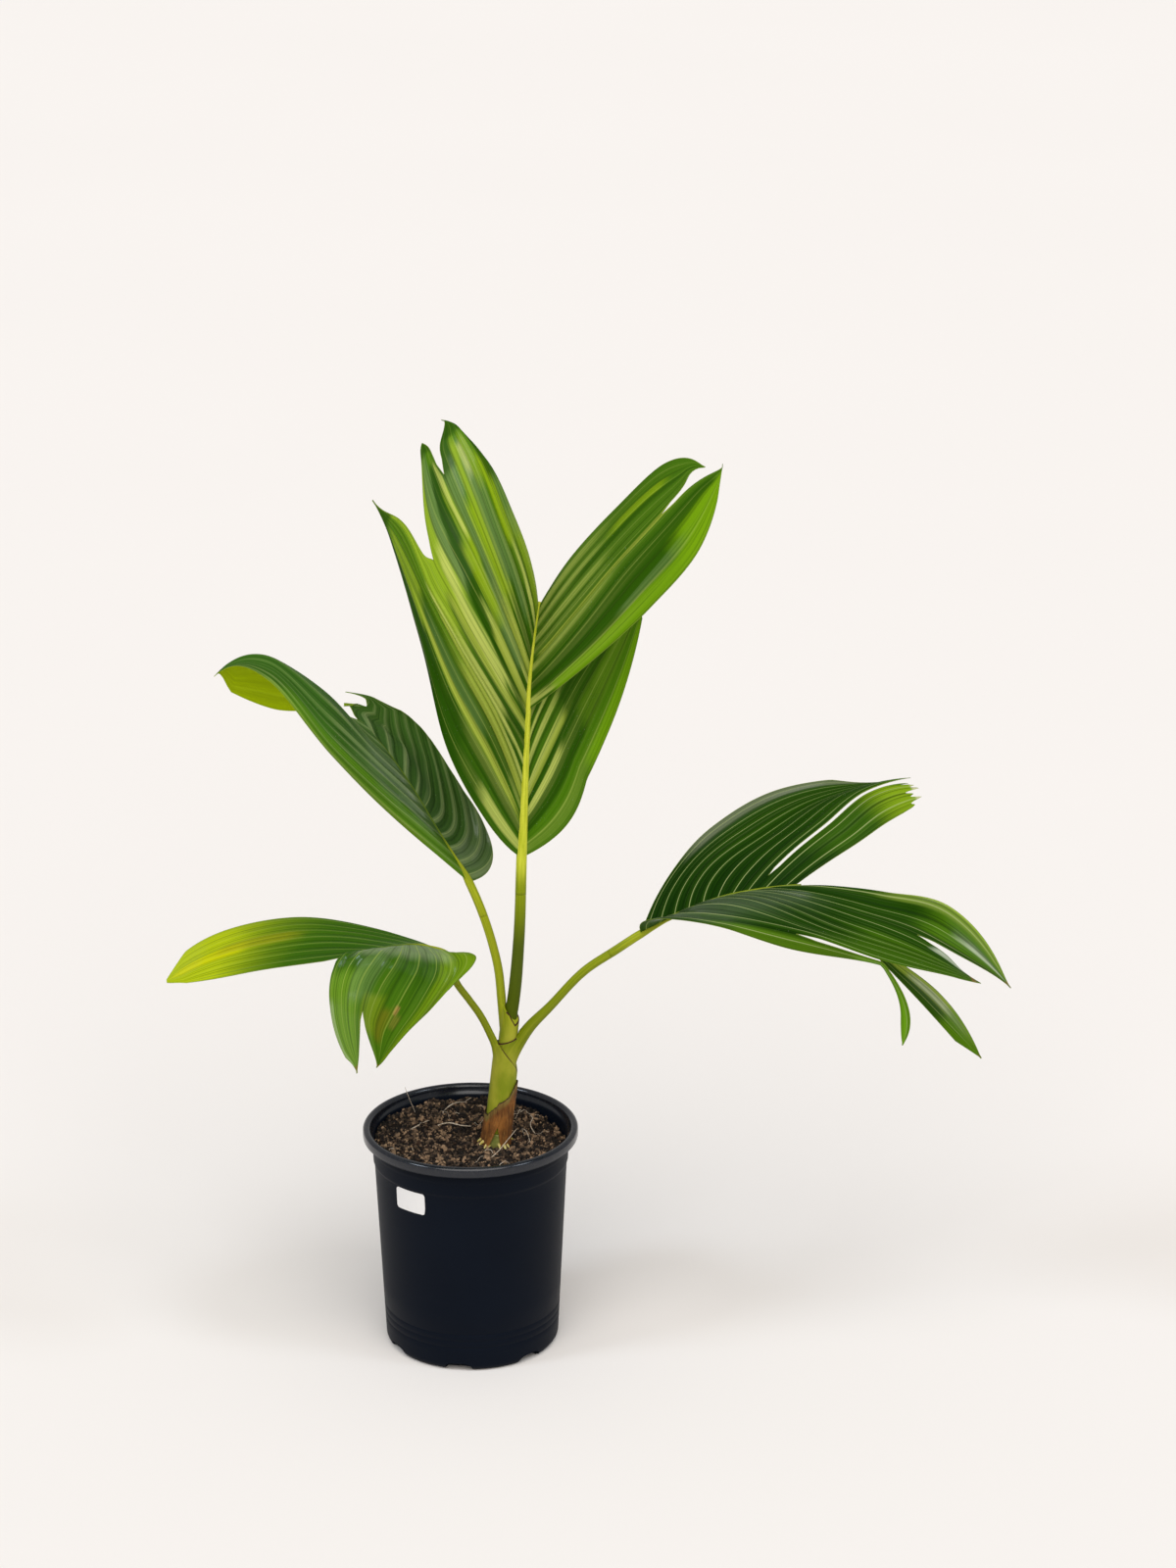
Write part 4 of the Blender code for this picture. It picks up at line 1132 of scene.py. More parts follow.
def finger_grid(finger):
    """For a grid over one finger: shares of the rachis, of the rib and of the finger's width, and the row."""
    across = np.linspace(0, 1, finger.pleats * PLEAT_COLUMNS + 1)
    row = np.linspace(0, GUIDE_ROWS, ROWS + 1)
    row, across = np.meshgrid(row, across, indexing="ij")
    closing_row = finger.left[0] + across * (finger.right[0] - finger.left[0])
    power = finger.left[1] + across * (finger.right[1] - finger.left[1])
    share = finger.first + across * (finger.last - finger.first)
    for edge, (bottom, _), sign in ((finger.first, finger.left, 1), (finger.last, finger.right, -1)):
        stands_back = SLIT * np.clip((row - bottom) / 0.6, 0, 1) * (bottom < NO_SLIT_FROM)
        share = share + sign * stands_back * np.clip(1 - np.abs(share - edge) / (2.5 * SLIT), 0, 1)
    closing = past(closing_row, row) ** power * (1 - finger.blunt)
    share = share + (finger.tip - share) * closing
    torn = 0.5 + 0.5 * np.sin(across * 23) * np.sin(across * 9 + 1)
    along = row / GUIDE_ROWS * (1 - finger.ragged * torn * past(TORN_FROM, row))
    return share, along, across, row


def from_margins(grid, row, left_from, right_from):
    """Distance in mm of each point of a grid from its finger's free margins, along its row."""
    steps = np.linalg.norm(np.diff(grid, axis=1), axis=2)
    before = np.concatenate([np.zeros((len(grid), 1)), np.cumsum(steps, axis=1)], axis=1)
    left = before + 40 * np.clip(left_from - row, 0, 1)
    right = before[:, -1:] - before + 40 * np.clip(right_from - row, 0, 1)
    return np.minimum(left, right)


def flat_blade(blade, stalk, half):
    """One blade half before it is pleated: points, triangles, marks, and each finger's point numbers."""
    points, triangles, grids = [], [], []
    marks = {"length": [], "pleat": [], "edge": []}
    total = 0
    pleats_before = half * HALF_OFFSET
    for finger in blade.fingers:
        share, along, across, row = finger_grid(finger)
        bent = past(finger.curl_from, row)[..., None] ** np.array(finger.curl_power, float)
        tip_bent = np.clip((along - 0.93) / 0.07, 0, 1)[..., None] ** 2
        moved = bent * np.array(finger.curl, float) + tip_bent * np.array(finger.hook, float)
        grid = blade.sheet(stalk, share.ravel(), along.ravel()).reshape(*share.shape, 3) + moved
        left_from = 0 if finger is blade.fingers[0] else finger.left[0]
        right_from = 0 if finger is blade.fingers[-1] else finger.right[0]
        drift = blade.slant * along**2 * (1 - 0.9 * share)
        marks["length"].append(along.ravel())
        marks["pleat"].append((pleats_before + across * finger.pleats + drift).ravel())
        marks["edge"].append(from_margins(grid, row, left_from, right_from).ravel())
        points.append(grid.reshape(-1, 3))
        number = np.arange(share.size).reshape(share.shape) + total
        if grids:
            shared = row[:, 0] <= finger.left[0] + 1e-6
            number[shared, 0] = grids[-1][shared, -1]
        grids.append(number)
        a, b, c, d = number[:-1, :-1], number[:-1, 1:], number[1:, 1:], number[1:, :-1]
        triangles += [np.stack([a, b, c], -1).reshape(-1, 3), np.stack([a, c, d], -1).reshape(-1, 3)]
        total += share.size
        pleats_before += finger.pleats
    triangles = np.concatenate(triangles)
    if blade.turned_over:
        triangles = triangles[:, ::-1]
    marks = {name: np.concatenate(mark) for name, mark in marks.items()}
    return np.concatenate(points), triangles, marks, grids


def pleated(blade, along, pleat):
    """How far in mm the pleats, ribs and creases lift each point off the flat sheet."""
    phase = 1 - np.abs(2 * (pleat % 1) - 1)
    wave = 0.5 * phase + 0.5 * phase**2 * (3 - 2 * phase) - 0.5
    height = blade.pleat * (1 + 0.35 * np.sin(np.floor(pleat) * 2.4)) * wave
    height += -PLEAT_RISE if blade.turned_over else PLEAT_RISE
    envelope = np.minimum(1, along / 0.12) * np.maximum(0, 1 - along)
    ridge = RIB_HEIGHT * np.exp(-(((1 - phase) / 0.1) ** 2)) * np.minimum(1, along / 0.05) * (1 - along**2)
    sway = SWAY * np.sin(along * 9 + pleat * 1.3) * np.sin(math.pi * along)
    creased = blade.crinkle * np.clip(1 - along / 0.45, 0, 1) * np.minimum(1, along / 0.08)
    crinkle = creased * np.sin(pleat * 2 * math.pi + 14 * along) * np.sin(along * 26)
    return height * envelope + ridge + sway + crinkle


def blade_mesh(blade, stalk, half):
    """Points, faces and per-point marks of one blade half."""
    middle, triangles, marks, grids = flat_blade(blade, stalk, half)
    tips = [number for finger, number in zip(blade.fingers, grids) if not finger.blunt]
    for number in tips:
        across = middle[number[-2, -1]] - middle[number[-2, 0]]
        aside = np.linspace(-0.5, 0.5, number.shape[1])[:, None] * TIP_WIDTH
        middle[number[-1]] += aside * across / np.linalg.norm(across)
    middle += facing(middle, triangles) * pleated(blade, marks["length"], marks["pleat"])[:, None]
    normal = facing(middle, triangles)
    for number in tips:
        mean = normal[number[-1]].mean(axis=0)
        normal[number[-1]] = mean / np.linalg.norm(mean)
    used, index = np.unique(triangles, return_inverse=True)
    offset = normal[used] * BLADE_THICKNESS / 2
    points, faces = thickened(middle[used] + offset, middle[used] - offset, index.reshape(-1, 3))
    marks = {name: np.tile(mark[used], 2) for name, mark in marks.items()}
    marks["under"] = np.repeat([0.0, 1.0], len(used))
    return points, faces, marks


def facing(points, triangles):
    """The way each point faces, from the triangles round it."""
    a, b, c = triangles.T
    normals = np.cross(points[b] - points[a], points[c] - points[a])
    total = np.zeros_like(points)
    for corner in (a, b, c):
        np.add.at(total, corner, normals)
    return total / np.maximum(np.linalg.norm(total, axis=1), 1e-12)[:, None]


def thickened(upper, lower, triangles):
    """A closed body between two faces that share their triangles."""
    count = len(upper)
    edges = np.concatenate([triangles[:, [0, 1]], triangles[:, [1, 2]], triangles[:, [2, 0]]])
    known = set(map(tuple, edges.tolist()))
    faces = triangles.tolist() + (triangles[:, [0, 2, 1]] + count).tolist()
    for a, b in known:
        if (b, a) not in known:
            faces.append((b, a, a + count, b + count))
    return np.concatenate([upper, lower]), faces


BLADES = {
    "centre": [
        Blade(
            ribs={
                0.00: [(18, -22, 520), (-17, -30, 593), (-39, -18, 687), (-75, 10, 806)],
                0.15: [(24, -28, 590), (-9, -38, 661), (-43, -25, 740), (-75, 10, 806)],
                0.54: [(31, -28, 656), (-4, -38, 724), (-31, -28, 781), (-36, 0, 858)],
                0.66: [(31, -25, 703), (5, -35, 764), (-22, -25, 817), (-37, 5, 862)],
                0.80: [(43, -20, 728), (23, -30, 789), (2, -22, 844), (-18, 5, 882)],
                1.00: [(58, -5, 760), (43, -12, 804), (21, -12, 850), (-15, 5, 880)],
            },
            fingers=[
                Finger(0, 0.54, 0.12, 8, left=(8, 2.2), right=(6.9, 1.3), hook=(-5, -2, 4)),
                Finger(0.54, 0.72, 0.69, 3, left=(6.9, 4), right=(8, 3), hook=(-2, -1, -4)),
                Finger(0.72, 1, 0.92, 5, left=(8, 5), right=(9, 2), hook=(-6, 0, -3)),
            ],
        ),
        Blade(
            ribs={
                0.00: [(94, 15, 521), (127, 35, 583), (149, 45, 648), (162, 42, 719)],
                0.30: [(69, 15, 594), (94, 28, 641), (127, 36, 684), (163, 40, 721)],
                0.56: [(74, 12, 646), (100, 25, 674), (134, 33, 699), (165, 38, 724)],
            },
            fingers=[Finger(0, 0.56, 0.3, 6, right=(8, 1.5))],
            lobe=(7, 0, -3),
            turned_over=True,
        ),
        Blade(
            ribs={
                0.59: [(112, -30, 672), (164, -50, 728), (208, -60, 788), (224, -60, 859)],
                0.68: [(100, -28, 696), (143, -48, 758), (185, -58, 810), (224, -60, 859)],
                0.78: [(94, -22, 711), (133, -40, 765), (171, -52, 811), (209, -56, 855)],
                1.00: [(90, -5, 757), (132, -20, 809), (175, -36, 854), (206, -50, 857)],
            },
            fingers=[
                Finger(0.59, 0.78, 0.6, 3, right=(7.6, 5)),
                Finger(0.78, 1, 1, 4, left=(7.6, 5), hook=(4, 0, -3)),
            ],
            turned_over=True,
        ),
    ],
    "upper_left": [
        Blade(
            ribs={
                0.00: [(-67, -35, 531), (-118, -50, 592), (-173, -42, 657), (-223, -18, 654)],
                0.40: [(-74, -35, 567), (-119, -44, 616), (-173, -22, 665), (-223, -12, 653)],
                0.75: [(-88, 2, 590), (-129, 5, 634), (-181, 5, 663), (-224, -5, 649)],
                1.00: [(-104, 20, 604), (-140, 32, 606), (-178, 30, 610), (-224, 5, 641)],
            },
            fingers=[Finger(0, 1, 0.5, 9, left=(6, 3), right=(9.4, 1))],
            pleat=1.2,
        ),
        Blade(
            ribs={
                0.00: [(19, 35, 482), (-11, 60, 531), (-48, 70, 583), (-89, 62, 608)],
                0.30: [(-18, 33, 504), (-36, 55, 546), (-66, 65, 587), (-91, 60, 609)],
                0.60: [(-53, 30, 562), (-69, 44, 582), (-85, 50, 598), (-98, 46, 611)],
                1.00: [(-99, 25, 604), (-103, 30, 607), (-108, 35, 611), (-114, 36, 613)],
            },
            fingers=[
                Finger(0, 0.6, 0.45, 7, left=(8.3, 1), right=(8.7, 0.8), curl=(-2, 2, 8), hook=(-15, 0, -1)),
                Finger(0.6, 1, 0.9, 3, left=(8.7, 1), blunt=0.45, hook=(0, -4, -2)),
            ],
            lobe=(3, 0, -8),
            pleat=3.6,
            slant=9.5,
            turned_over=True,
        ),
    ],
    "right": [
        Blade(
            ribs={
                0.00: [(201, -60, 440), (289, -85, 421), (370, -96, 410), (422, -96, 385)],
                0.08: [(207, -57, 442), (294, -88, 437), (372, -102, 416), (441, -95, 394)],
                0.25: [(237, -50, 453), (315, -82, 437), (392, -94, 416), (459, -84, 386)],
                0.60: [(282, -30, 453), (348, -50, 438), (405, -58, 417), (462, -64, 384)],
                0.80: [(306, -24, 455), (365, -32, 444), (430, -32, 422), (493, -30, 362)],
                0.90: [(326, -16, 455), (380, -18, 443), (441, -18, 422), (494, -20, 358)],
                0.94: [(329, -10, 442), (376, -5, 402), (443, 3, 360), (489, 4, 309)],
                0.96: [(329, -8, 436), (370, 0, 388), (424, 12, 332), (473, 12, 275)],
            },
            fingers=[
                Finger(
                    0, 0.08, 0.04, 1, left=(9, 1.5), right=(5, 9),
                    curl=(-42, 0, -57), curl_from=7.5, curl_power=(1.8, 2, 0.85),
                ),
                Finger(0.08, 0.66, 0.4, 6, left=(5, 6), right=(7.2, 3.5)),
                Finger(0.66, 0.88, 0.8, 3, left=(7.2, 3.5), right=(3, 9)),
                Finger(0.94, 0.96, 0.96, 2, left=(3, 4.5)),
            ],
            lobe=(-16, -4, 3),
            pleat=1.0,
            turned_over=True,
        ),
        Blade(
            ribs={
                0.00: [(185, 25, 453), (225, 60, 487), (292, 85, 515), (391, 85, 524)],
                0.40: [(228, 15, 461), (268, 40, 484), (322, 65, 509), (392, 78, 525)],
                0.75: [(292, 12, 475), (326, 32, 497), (364, 52, 522), (411, 60, 530)],
                1.00: [(327, 5, 471), (356, 18, 486), (384, 32, 501), (414, 45, 513)],
            },
            fingers=[
                Finger(0, 0.75, 0.62, 8, left=(8.6, 1.5), right=(1, 14)),
                Finger(0.75, 1, 0.95, 2, left=(1, 14), blunt=0.9, ragged=0.1),
            ],
            pleat=1.3,
        ),
    ],
    "lower_left": [
        Blade(
            ribs={
                0.00: [(-3, -74, 396), (-29, -105, 376), (-56, -124, 357), (-79, -132, 328)],
                0.30: [(-30, -88, 404), (-43, -118, 385), (-62, -135, 360), (-78, -138, 330)],
                0.55: [(-70, -110, 420), (-83, -130, 404), (-90, -142, 378), (-89, -142, 332)],
                0.80: [(-100, -120, 425), (-109, -138, 405), (-107, -145, 370), (-95, -145, 329)],
                1.00: [(-113, -122, 424), (-118, -138, 400), (-113, -145, 364), (-97, -145, 329)],
            },
            fingers=[
                Finger(0, 0.55, 0.3, 5, right=(7, 2)),
                Finger(0.55, 1, 0.7, 3, left=(7, 4), right=(9, 1), hook=(-2, 0, -3)),
            ],
            lobe=(12, -4, 9),
            pleat=1.6,
            crinkle=1.2,
        ),
        Blade(
            ribs={
                0.08: [(-82, -30, 421), (-151, -30, 432), (-220, -45, 423), (-262, -72, 403)],
                0.50: [(-110, -60, 425), (-163, -65, 425), (-220, -75, 414), (-267, -85, 391)],
                1.00: [(-148, -105, 416), (-185, -102, 408), (-226, -98, 398), (-257, -90, 390)],
            },
            fingers=[Finger(0.08, 1, 0.5, 7, left=(9.2, 1.4), right=(9.2, 1.4), blunt=0.15)],
            pleat=1.2,
            turned_over=True,
        ),
    ],
}


# A patch of colour on a blade: pleats from and to, the softness of its sides, lengths from and to, the
# softness of its ends, its colour, how strong it is, and how many pleats it drifts over the whole length. The
# pleats of a blade's second part are numbered from HALF_OFFSET, and so on.
Patch = namedtuple("Patch", "pleats soft_sides lengths soft_ends colour strength lean", defaults=(0.0,))
LEAF_EDGE = (0.2, 0.27, 0.04)
DUST = (0.6, 0.66, 0.5)


def scaled(colour, by):
    return tuple(value * by for value in colour)


def blade_look(grounds, stripe, rib, patches, under, specks=(), gloss=()):
    """The look of a leaf's blade.

    grounds are its greens by the midrib and by the tip. stripe is the colour of its bands by the midrib and
    by the tip, how wide and how strong they are, and how far out they reach. rib is the colour and strength
    of the thin pale ribs, and under those of the underside. specks and gloss are places (pleats, lengths)
    with dust or a wet shine.
    """

    def look(paint):
        length, pleat, edge, below = (read(paint, name) for name in ("length", "pleat", "edge", "under"))
        place = paint.place()
        ribs = paint.node("CombineXYZ", {0: pleat, 1: length, 2: 0.0})
        streaks = ribs.stretched(5, 1.2, 1).grain(1.0, 4, 0.65)
        veins = ribs.stretched(34, 1.6, 1).grain(1.0, 3, 0.6)
        lines = ribs.stretched(13, 0.8, 1).grain(1.0, 2, 0.5)
        clouds = place.grain(18, 3)
        cell = paint.node("TexWhiteNoise", {"W": paint.math("FLOOR", pleat)}, noise_dimensions="1D")
        wavering = pleat + (streaks - 0.5) * 0.55
        phase = 1 - paint.math("ABSOLUTE", paint.math("FRACT", pleat) * 2 - 1)
        along = length + (clouds - 0.5) * 0.16

        ground = along.between(0.1, 0.85).blend(*grounds)
        ground = (veins.between(0.4, 0.75) * 0.4).blend(ground, scaled(grounds[1], 1.8))
        ground = (clouds.between(0.45, 0.7) * 0.3).blend(ground, grounds[1])
        near, far, width, strength, reach = stripe
        in_pleat = paint.math("FRACT", pleat + (streaks - 0.5) * 0.3)
        from_band = paint.math("ABSOLUTE", in_pleat - 0.35 - cell * 0.3)
        band = from_band.between(width * 1.25, width * 0.55) * (1 - along.between(reach * 0.4, reach) * 0.75)
        band = band * (1 - cell.between(0.75, 0.8) * 0.6) * (0.75 + 0.25 * veins.between(0.35, 0.65))
        colour = (band * strength).blend(ground, along.between(0.15, 0.75).blend(near, far))
        worn = 0.85 + 0.15 * veins.between(0.35, 0.65)
        for patch in patches:
            across = wavering - length * patch.lean if patch.lean else wavering
            mask = across.inside(*patch.pleats, patch.soft_sides)
            mask = mask * along.inside(*patch.lengths, patch.soft_ends)
            colour = (mask * worn * patch.strength).blend(colour, patch.colour)

        colour = (lines.between(0.47, 0.36) * 0.45).blend(colour, grounds[0])
        colour = (lines.between(0.56, 0.68) * 0.07).blend(colour, rib[0])
        colour = (veins.between(0.42, 0.3) * 0.25).blend(colour, grounds[0])
        # Painted shade: the pleat valleys are darkened to half the deep green, as the folds shade them.
        colour = (phase.between(0.2, 0.0) * 0.45).blend(colour, scaled(grounds[0], 0.5))
        colour = (phase.between(0.92, 0.985) * (1 - length * 0.4) * rib[1]).blend(colour, rib[0])
        colour = (edge.between(0.9, 0.3) * 0.6).blend(colour, LEAF_EDGE)
        below = below * (1 - 0.65 * pleat.between(10, 19))
        underside = streaks.between(0.3, 0.7).blend(under[0], scaled(under[0], 0.75))
        colour = (below * under[1]).blend(colour, underside)

        def over(places, soft_sides, soft_ends):
            masks = 0 * length
            for pleats, lengths in places:
                masks = masks + wavering.inside(*pleats, soft_sides) * along.inside(*lengths, soft_ends)
            return masks

        dust = place.grain(900, 2, 0.6).between(0.7, 0.77)
        colour = (dust * over(specks, 1.0, 0.12) * 0.4).blend(colour, DUST)
        return {
            "Base Color": colour,
            "Roughness": 0.34 + veins * 0.1 + below * 0.15,
            "Specular IOR Level": 0.02,
            "Coat Weight": over(gloss, 0.8, 0.08) * 0.45,
            "Coat Roughness": 0.16,
            "Normal": (veins * 0.7 + streaks * 0.6).bump(0.0006, 0.5),
        }

    return look


# The greens of a young leaf: its cream and lime bands, a grey-green painted sheen that stands for the sky
# reflected in its wax, and its middle and deep greens
CREAM = (0.49, 0.55, 0.12)
PALE = (0.36, 0.43, 0.055)
LIME = (0.28, 0.41, 0.02)
YELLOW_GREEN = (0.25, 0.38, 0.006)
PAINTED_SHEEN = (0.13, 0.22, 0.06)
MIDDLE = (0.085, 0.18, 0.006)
DEEP = (0.017, 0.068, 0.001)
DRY = (0.3, 0.2, 0.04)

BLADE_LOOKS = {
    "centre": dict(
        grounds=((0.03, 0.09, 0.003), (0.06, 0.16, 0.004)),
        stripe=(CREAM, (0.2, 0.34, 0.02), 0.25, 0.85, 0.8),
        rib=((0.4, 0.48, 0.1), 0.3),
        under=((0.06, 0.17, 0.008), 0.5),
        patches=[
            Patch((0.0, 0.7), 0.4, (0.33, 1.0), 0.1, DEEP, 0.95),
            Patch((0.0, 1.6), 0.2, (0.47, 0.8), 0.1, DEEP, 0.95),
            Patch((0.0, 1.2), 0.3, (0.6, 1.0), 0.1, DEEP, 0.95),
            Patch((1.1, 1.5), 0.15, (0.03, 0.5), 0.06, DEEP, 0.85),
            Patch((1.8, 2.05), 0.12, (0.1, 0.7), 0.1, PALE, 0.9, -0.1),
            Patch((2.2, 3.0), 0.25, (0.15, 0.7), 0.1, DEEP, 0.85),
            Patch((2.15, 2.5), 0.25, (0.35, 0.62), 0.1, PAINTED_SHEEN, 0.45),
            Patch((1.5, 3.0), 0.3, (0.72, 0.88), 0.06, LIME, 0.7),
            Patch((3.1, 3.9), 0.25, (0.05, 0.48), 0.1, PALE, 0.75),
            Patch((3.1, 4.0), 0.3, (0.52, 0.78), 0.1, MIDDLE, 0.8),
            Patch((4.2, 4.9), 0.25, (0.25, 0.55), 0.1, PALE, 0.8),
            Patch((4.0, 6.0), 0.3, (0.62, 0.93), 0.08, MIDDLE, 0.75),
            Patch((5.2, 5.9), 0.25, (0.2, 0.6), 0.1, CREAM, 0.75),
            Patch((6.5, 6.95), 0.2, (0.03, 0.24), 0.08, DEEP, 0.8),
            Patch((6.05, 6.8), 0.3, (0.25, 0.55), 0.1, CREAM, 0.8),
            Patch((6.0, 8.0), 0.3, (0.52, 0.95), 0.1, LIME, 0.85),
            Patch((7.0, 7.4), 0.15, (0.05, 0.5), 0.08, DEEP, 0.85, 0.9),
            Patch((7.5, 7.95), 0.2, (0.02, 0.48), 0.1, PALE, 0.8, 0.3),
            Patch((8.1, 9.0), 0.3, (0.5, 0.92), 0.1, LIME, 0.85),
            Patch((9.1, 9.9), 0.35, (0.5, 0.88), 0.12, PAINTED_SHEEN, 0.75),
            Patch((8.1, 8.5), 0.2, (0.02, 0.85), 0.06, DEEP, 0.92, 2.5),
            Patch((8.15, 8.75), 0.25, (0.4, 0.82), 0.08, DEEP, 0.9, 2.5),
            Patch((7.5, 7.85), 0.2, (0.25, 0.62), 0.1, CREAM, 0.85, 1.5),
            Patch((8.95, 9.45), 0.2, (0.02, 0.26), 0.08, PALE, 0.8, 1.2),
            Patch((10.05, 10.9), 0.3, (0.12, 0.36), 0.08, PAINTED_SHEEN, 0.7),
            Patch((10.0, 10.6), 0.2, (0.3, 0.52), 0.08, YELLOW_GREEN, 0.85),
            Patch((10.6, 10.95), 0.2, (0.5, 0.72), 0.08, YELLOW_GREEN, 0.8),
            Patch((10.62, 10.78), 0.1, (0.6, 0.85), 0.06, CREAM, 0.8),
            Patch((11.0, 11.7), 0.25, (0.02, 0.3), 0.08, PALE, 0.8),
            Patch((11.0, 11.55), 0.25, (0.3, 0.8), 0.1, PAINTED_SHEEN, 0.8),
            Patch((11.55, 11.95), 0.15, (0.3, 0.6), 0.1, YELLOW_GREEN, 0.75),
            Patch((12.2, 12.55), 0.15, (0.03, 0.35), 0.08, DEEP, 0.85, 0.5),
            Patch((12.0, 12.5), 0.2, (0.3, 0.86), 0.1, LIME, 0.8),
            Patch((12.5, 12.95), 0.25, (0.35, 0.75), 0.1, PAINTED_SHEEN, 0.75),
            Patch((13.1, 13.6), 0.25, (0.2, 0.68), 0.1, PAINTED_SHEEN, 0.65),
            Patch((13.1, 13.9), 0.3, (0.72, 0.88), 0.08, YELLOW_GREEN, 0.6),
            Patch((12.7, 13.0), 0.25, (0.76, 0.84), 0.06, CREAM, 0.6),
            Patch((14.0, 14.3), 0.15, (0.25, 0.47), 0.08, MIDDLE, 0.8),
            Patch((14.1, 15.0), 0.3, (0.45, 0.74), 0.08, YELLOW_GREEN, 0.85),
            Patch((15.0, 16.0), 0.25, (0.0, 0.44), 0.1, LIME, 0.6),
            Patch((15.0, 16.0), 0.25, (0.45, 0.66), 0.1, PAINTED_SHEEN, 0.6),
            Patch((14.6, 16.0), 0.3, (0.7, 1.0), 0.08, DEEP, 0.9),
            Patch((11.0, 11.8), 0.3, (0.82, 1.0), 0.05, DEEP, 0.85),
            Patch((0.0, 16.0), 0.3, (0.955, 1.0), 0.03, DEEP, 0.9),
            Patch((20.0, 20.95), 0.3, (0.05, 0.95), 0.1, (0.06, 0.16, 0.003), 0.92),
            Patch((20.0, 20.3), 0.25, (0.42, 0.85), 0.1, (0.15, 0.32, 0.003), 0.85),
            Patch((20.95, 22.0), 0.2, (0.02, 0.55), 0.1, DEEP, 0.92),
            Patch((21.0, 22.0), 0.3, (0.52, 0.9), 0.1, MIDDLE, 0.8),
            Patch((21.55, 21.75), 0.12, (0.03, 0.28), 0.08, CREAM, 0.8),
            Patch((22.15, 22.35), 0.12, (0.08, 0.42), 0.1, PALE, 0.7),
            Patch((22.0, 26.0), 0.3, (0.44, 0.95), 0.08, DEEP, 0.9),
            Patch((42.0, 47.0), 0.3, (0.08, 0.55), 0.15, (0.09, 0.16, 0.015), 0.6),
            Patch((41.8, 47.0), 0.3, (0.52, 1.0), 0.12, (0.045, 0.12, 0.004), 0.8),
            Patch((40.45, 41.0), 0.2, (0.1, 0.7), 0.1, DEEP, 0.9),
            Patch((41.15, 41.75), 0.2, (0.02, 0.92), 0.06, DEEP, 0.92),
            Patch((40.5, 40.7), 0.1, (0.45, 0.7), 0.08, PAINTED_SHEEN, 0.5),
            Patch((40.0, 40.4), 0.12, (0.15, 1.0), 0.08, (0.16, 0.33, 0.004), 0.9),
            Patch((40.0, 41.0), 0.25, (0.76, 1.0), 0.12, (0.17, 0.34, 0.004), 0.85),
            Patch((42.85, 43.1), 0.12, (0.1, 0.82), 0.08, PALE, 0.7),
            Patch((45.4, 45.9), 0.2, (0.55, 0.75), 0.1, YELLOW_GREEN, 0.6),
            Patch((45.1, 45.35), 0.1, (0.35, 0.97), 0.1, DEEP, 0.8),
        ],
        specks=[((0, 6), (0.15, 0.6)), ((42, 45), (0.15, 0.5)), ((20, 22), (0.1, 0.5))],
        gloss=[((9, 10), (0.5, 0.85)), ((11.5, 13.5), (0.7, 0.88))],
    ),
    "upper_left": dict(
        grounds=((0.02, 0.065, 0.008), (0.035, 0.1, 0.006)),
        stripe=((0.17, 0.24, 0.09), (0.13, 0.2, 0.05), 0.2, 0.75, 1.4),
        rib=((0.27, 0.34, 0.12), 0.6),
        under=((0.42, 0.55, 0.002), 0.9),
        patches=[
            Patch((0.0, 2.0), 0.6, (0.05, 0.62), 0.1, (0.09, 0.21, 0.008), 0.8),
            Patch((0.0, 0.5), 0.3, (0.2, 0.7), 0.15, (0.2, 0.32, 0.03), 0.6),
            # Painted sheen: a grey wash by the midrib where the wax reflects the sky.
            Patch((3.2, 9.0), 0.8, (0.0, 0.28), 0.15, (0.12, 0.2, 0.06), 0.4),
            Patch((2.5, 9.0), 0.8, (0.55, 0.98), 0.1, (0.04, 0.13, 0.01), 0.6),
            Patch((20.0, 22.2), 0.5, (0.08, 0.42), 0.12, (0.2, 0.27, 0.12), 0.3),
            Patch((20.5, 30.0), 0.5, (0.0, 0.8), 0.2, (0.14, 0.2, 0.08), 0.12),
        ],
        specks=[((2.5, 5.5), (0.1, 0.55)), ((20, 25), (0.1, 0.5))],
        gloss=[((2, 6), (0.05, 0.25)), ((20, 22), (0.05, 0.35))],
    ),
    "right": dict(
        grounds=((0.004, 0.021, 0.001), (0.015, 0.056, 0.001)),
        stripe=((0.03, 0.08, 0.004), (0.036, 0.105, 0.002), 0.2, 0.4, 1.3),
        rib=((0.4, 0.46, 0.18), 0.75),
        under=((0.06, 0.16, 0.004), 0.3),
        patches=[
            # Painted sheen: a grey wash near the midrib where the wax reflects the sky.
            Patch((0.5, 8.0), 0.5, (0.12, 0.28), 0.16, (0.09, 0.14, 0.06), 0.4),
            Patch((0.0, 0.6), 0.4, (0.4, 0.66), 0.12, (0.13, 0.27, 0.008), 0.5),
            Patch((0.0, 1.0), 0.2, (0.7, 1.0), 0.08, (0.13, 0.3, 0.008), 0.9),
            Patch((1.0, 5.5), 0.6, (0.62, 0.97), 0.15, (0.05, 0.13, 0.002), 0.7),
            # Painted shadow: the main finger's shadow on the second finger's near edge.
            Patch((7.0, 7.7), 0.3, (0.6, 0.95), 0.1, (0.015, 0.05, 0.002), 0.85),
            Patch((7.9, 10.0), 0.4, (0.78, 0.99), 0.14, (0.08, 0.19, 0.005), 0.8),
            # Painted highlight: a white glint on the second finger.
            Patch((8.6, 8.95), 0.3, (0.84, 0.95), 0.07, (0.6, 0.66, 0.5), 0.65),
            Patch((9.5, 10.0), 0.25, (0.6, 0.9), 0.14, (0.22, 0.32, 0.04), 0.6),
            # Painted highlight: a white glint along the main finger's upper edge by its tip.
            Patch((6.5, 6.9), 0.2, (0.84, 0.93), 0.05, (0.6, 0.66, 0.52), 0.6),
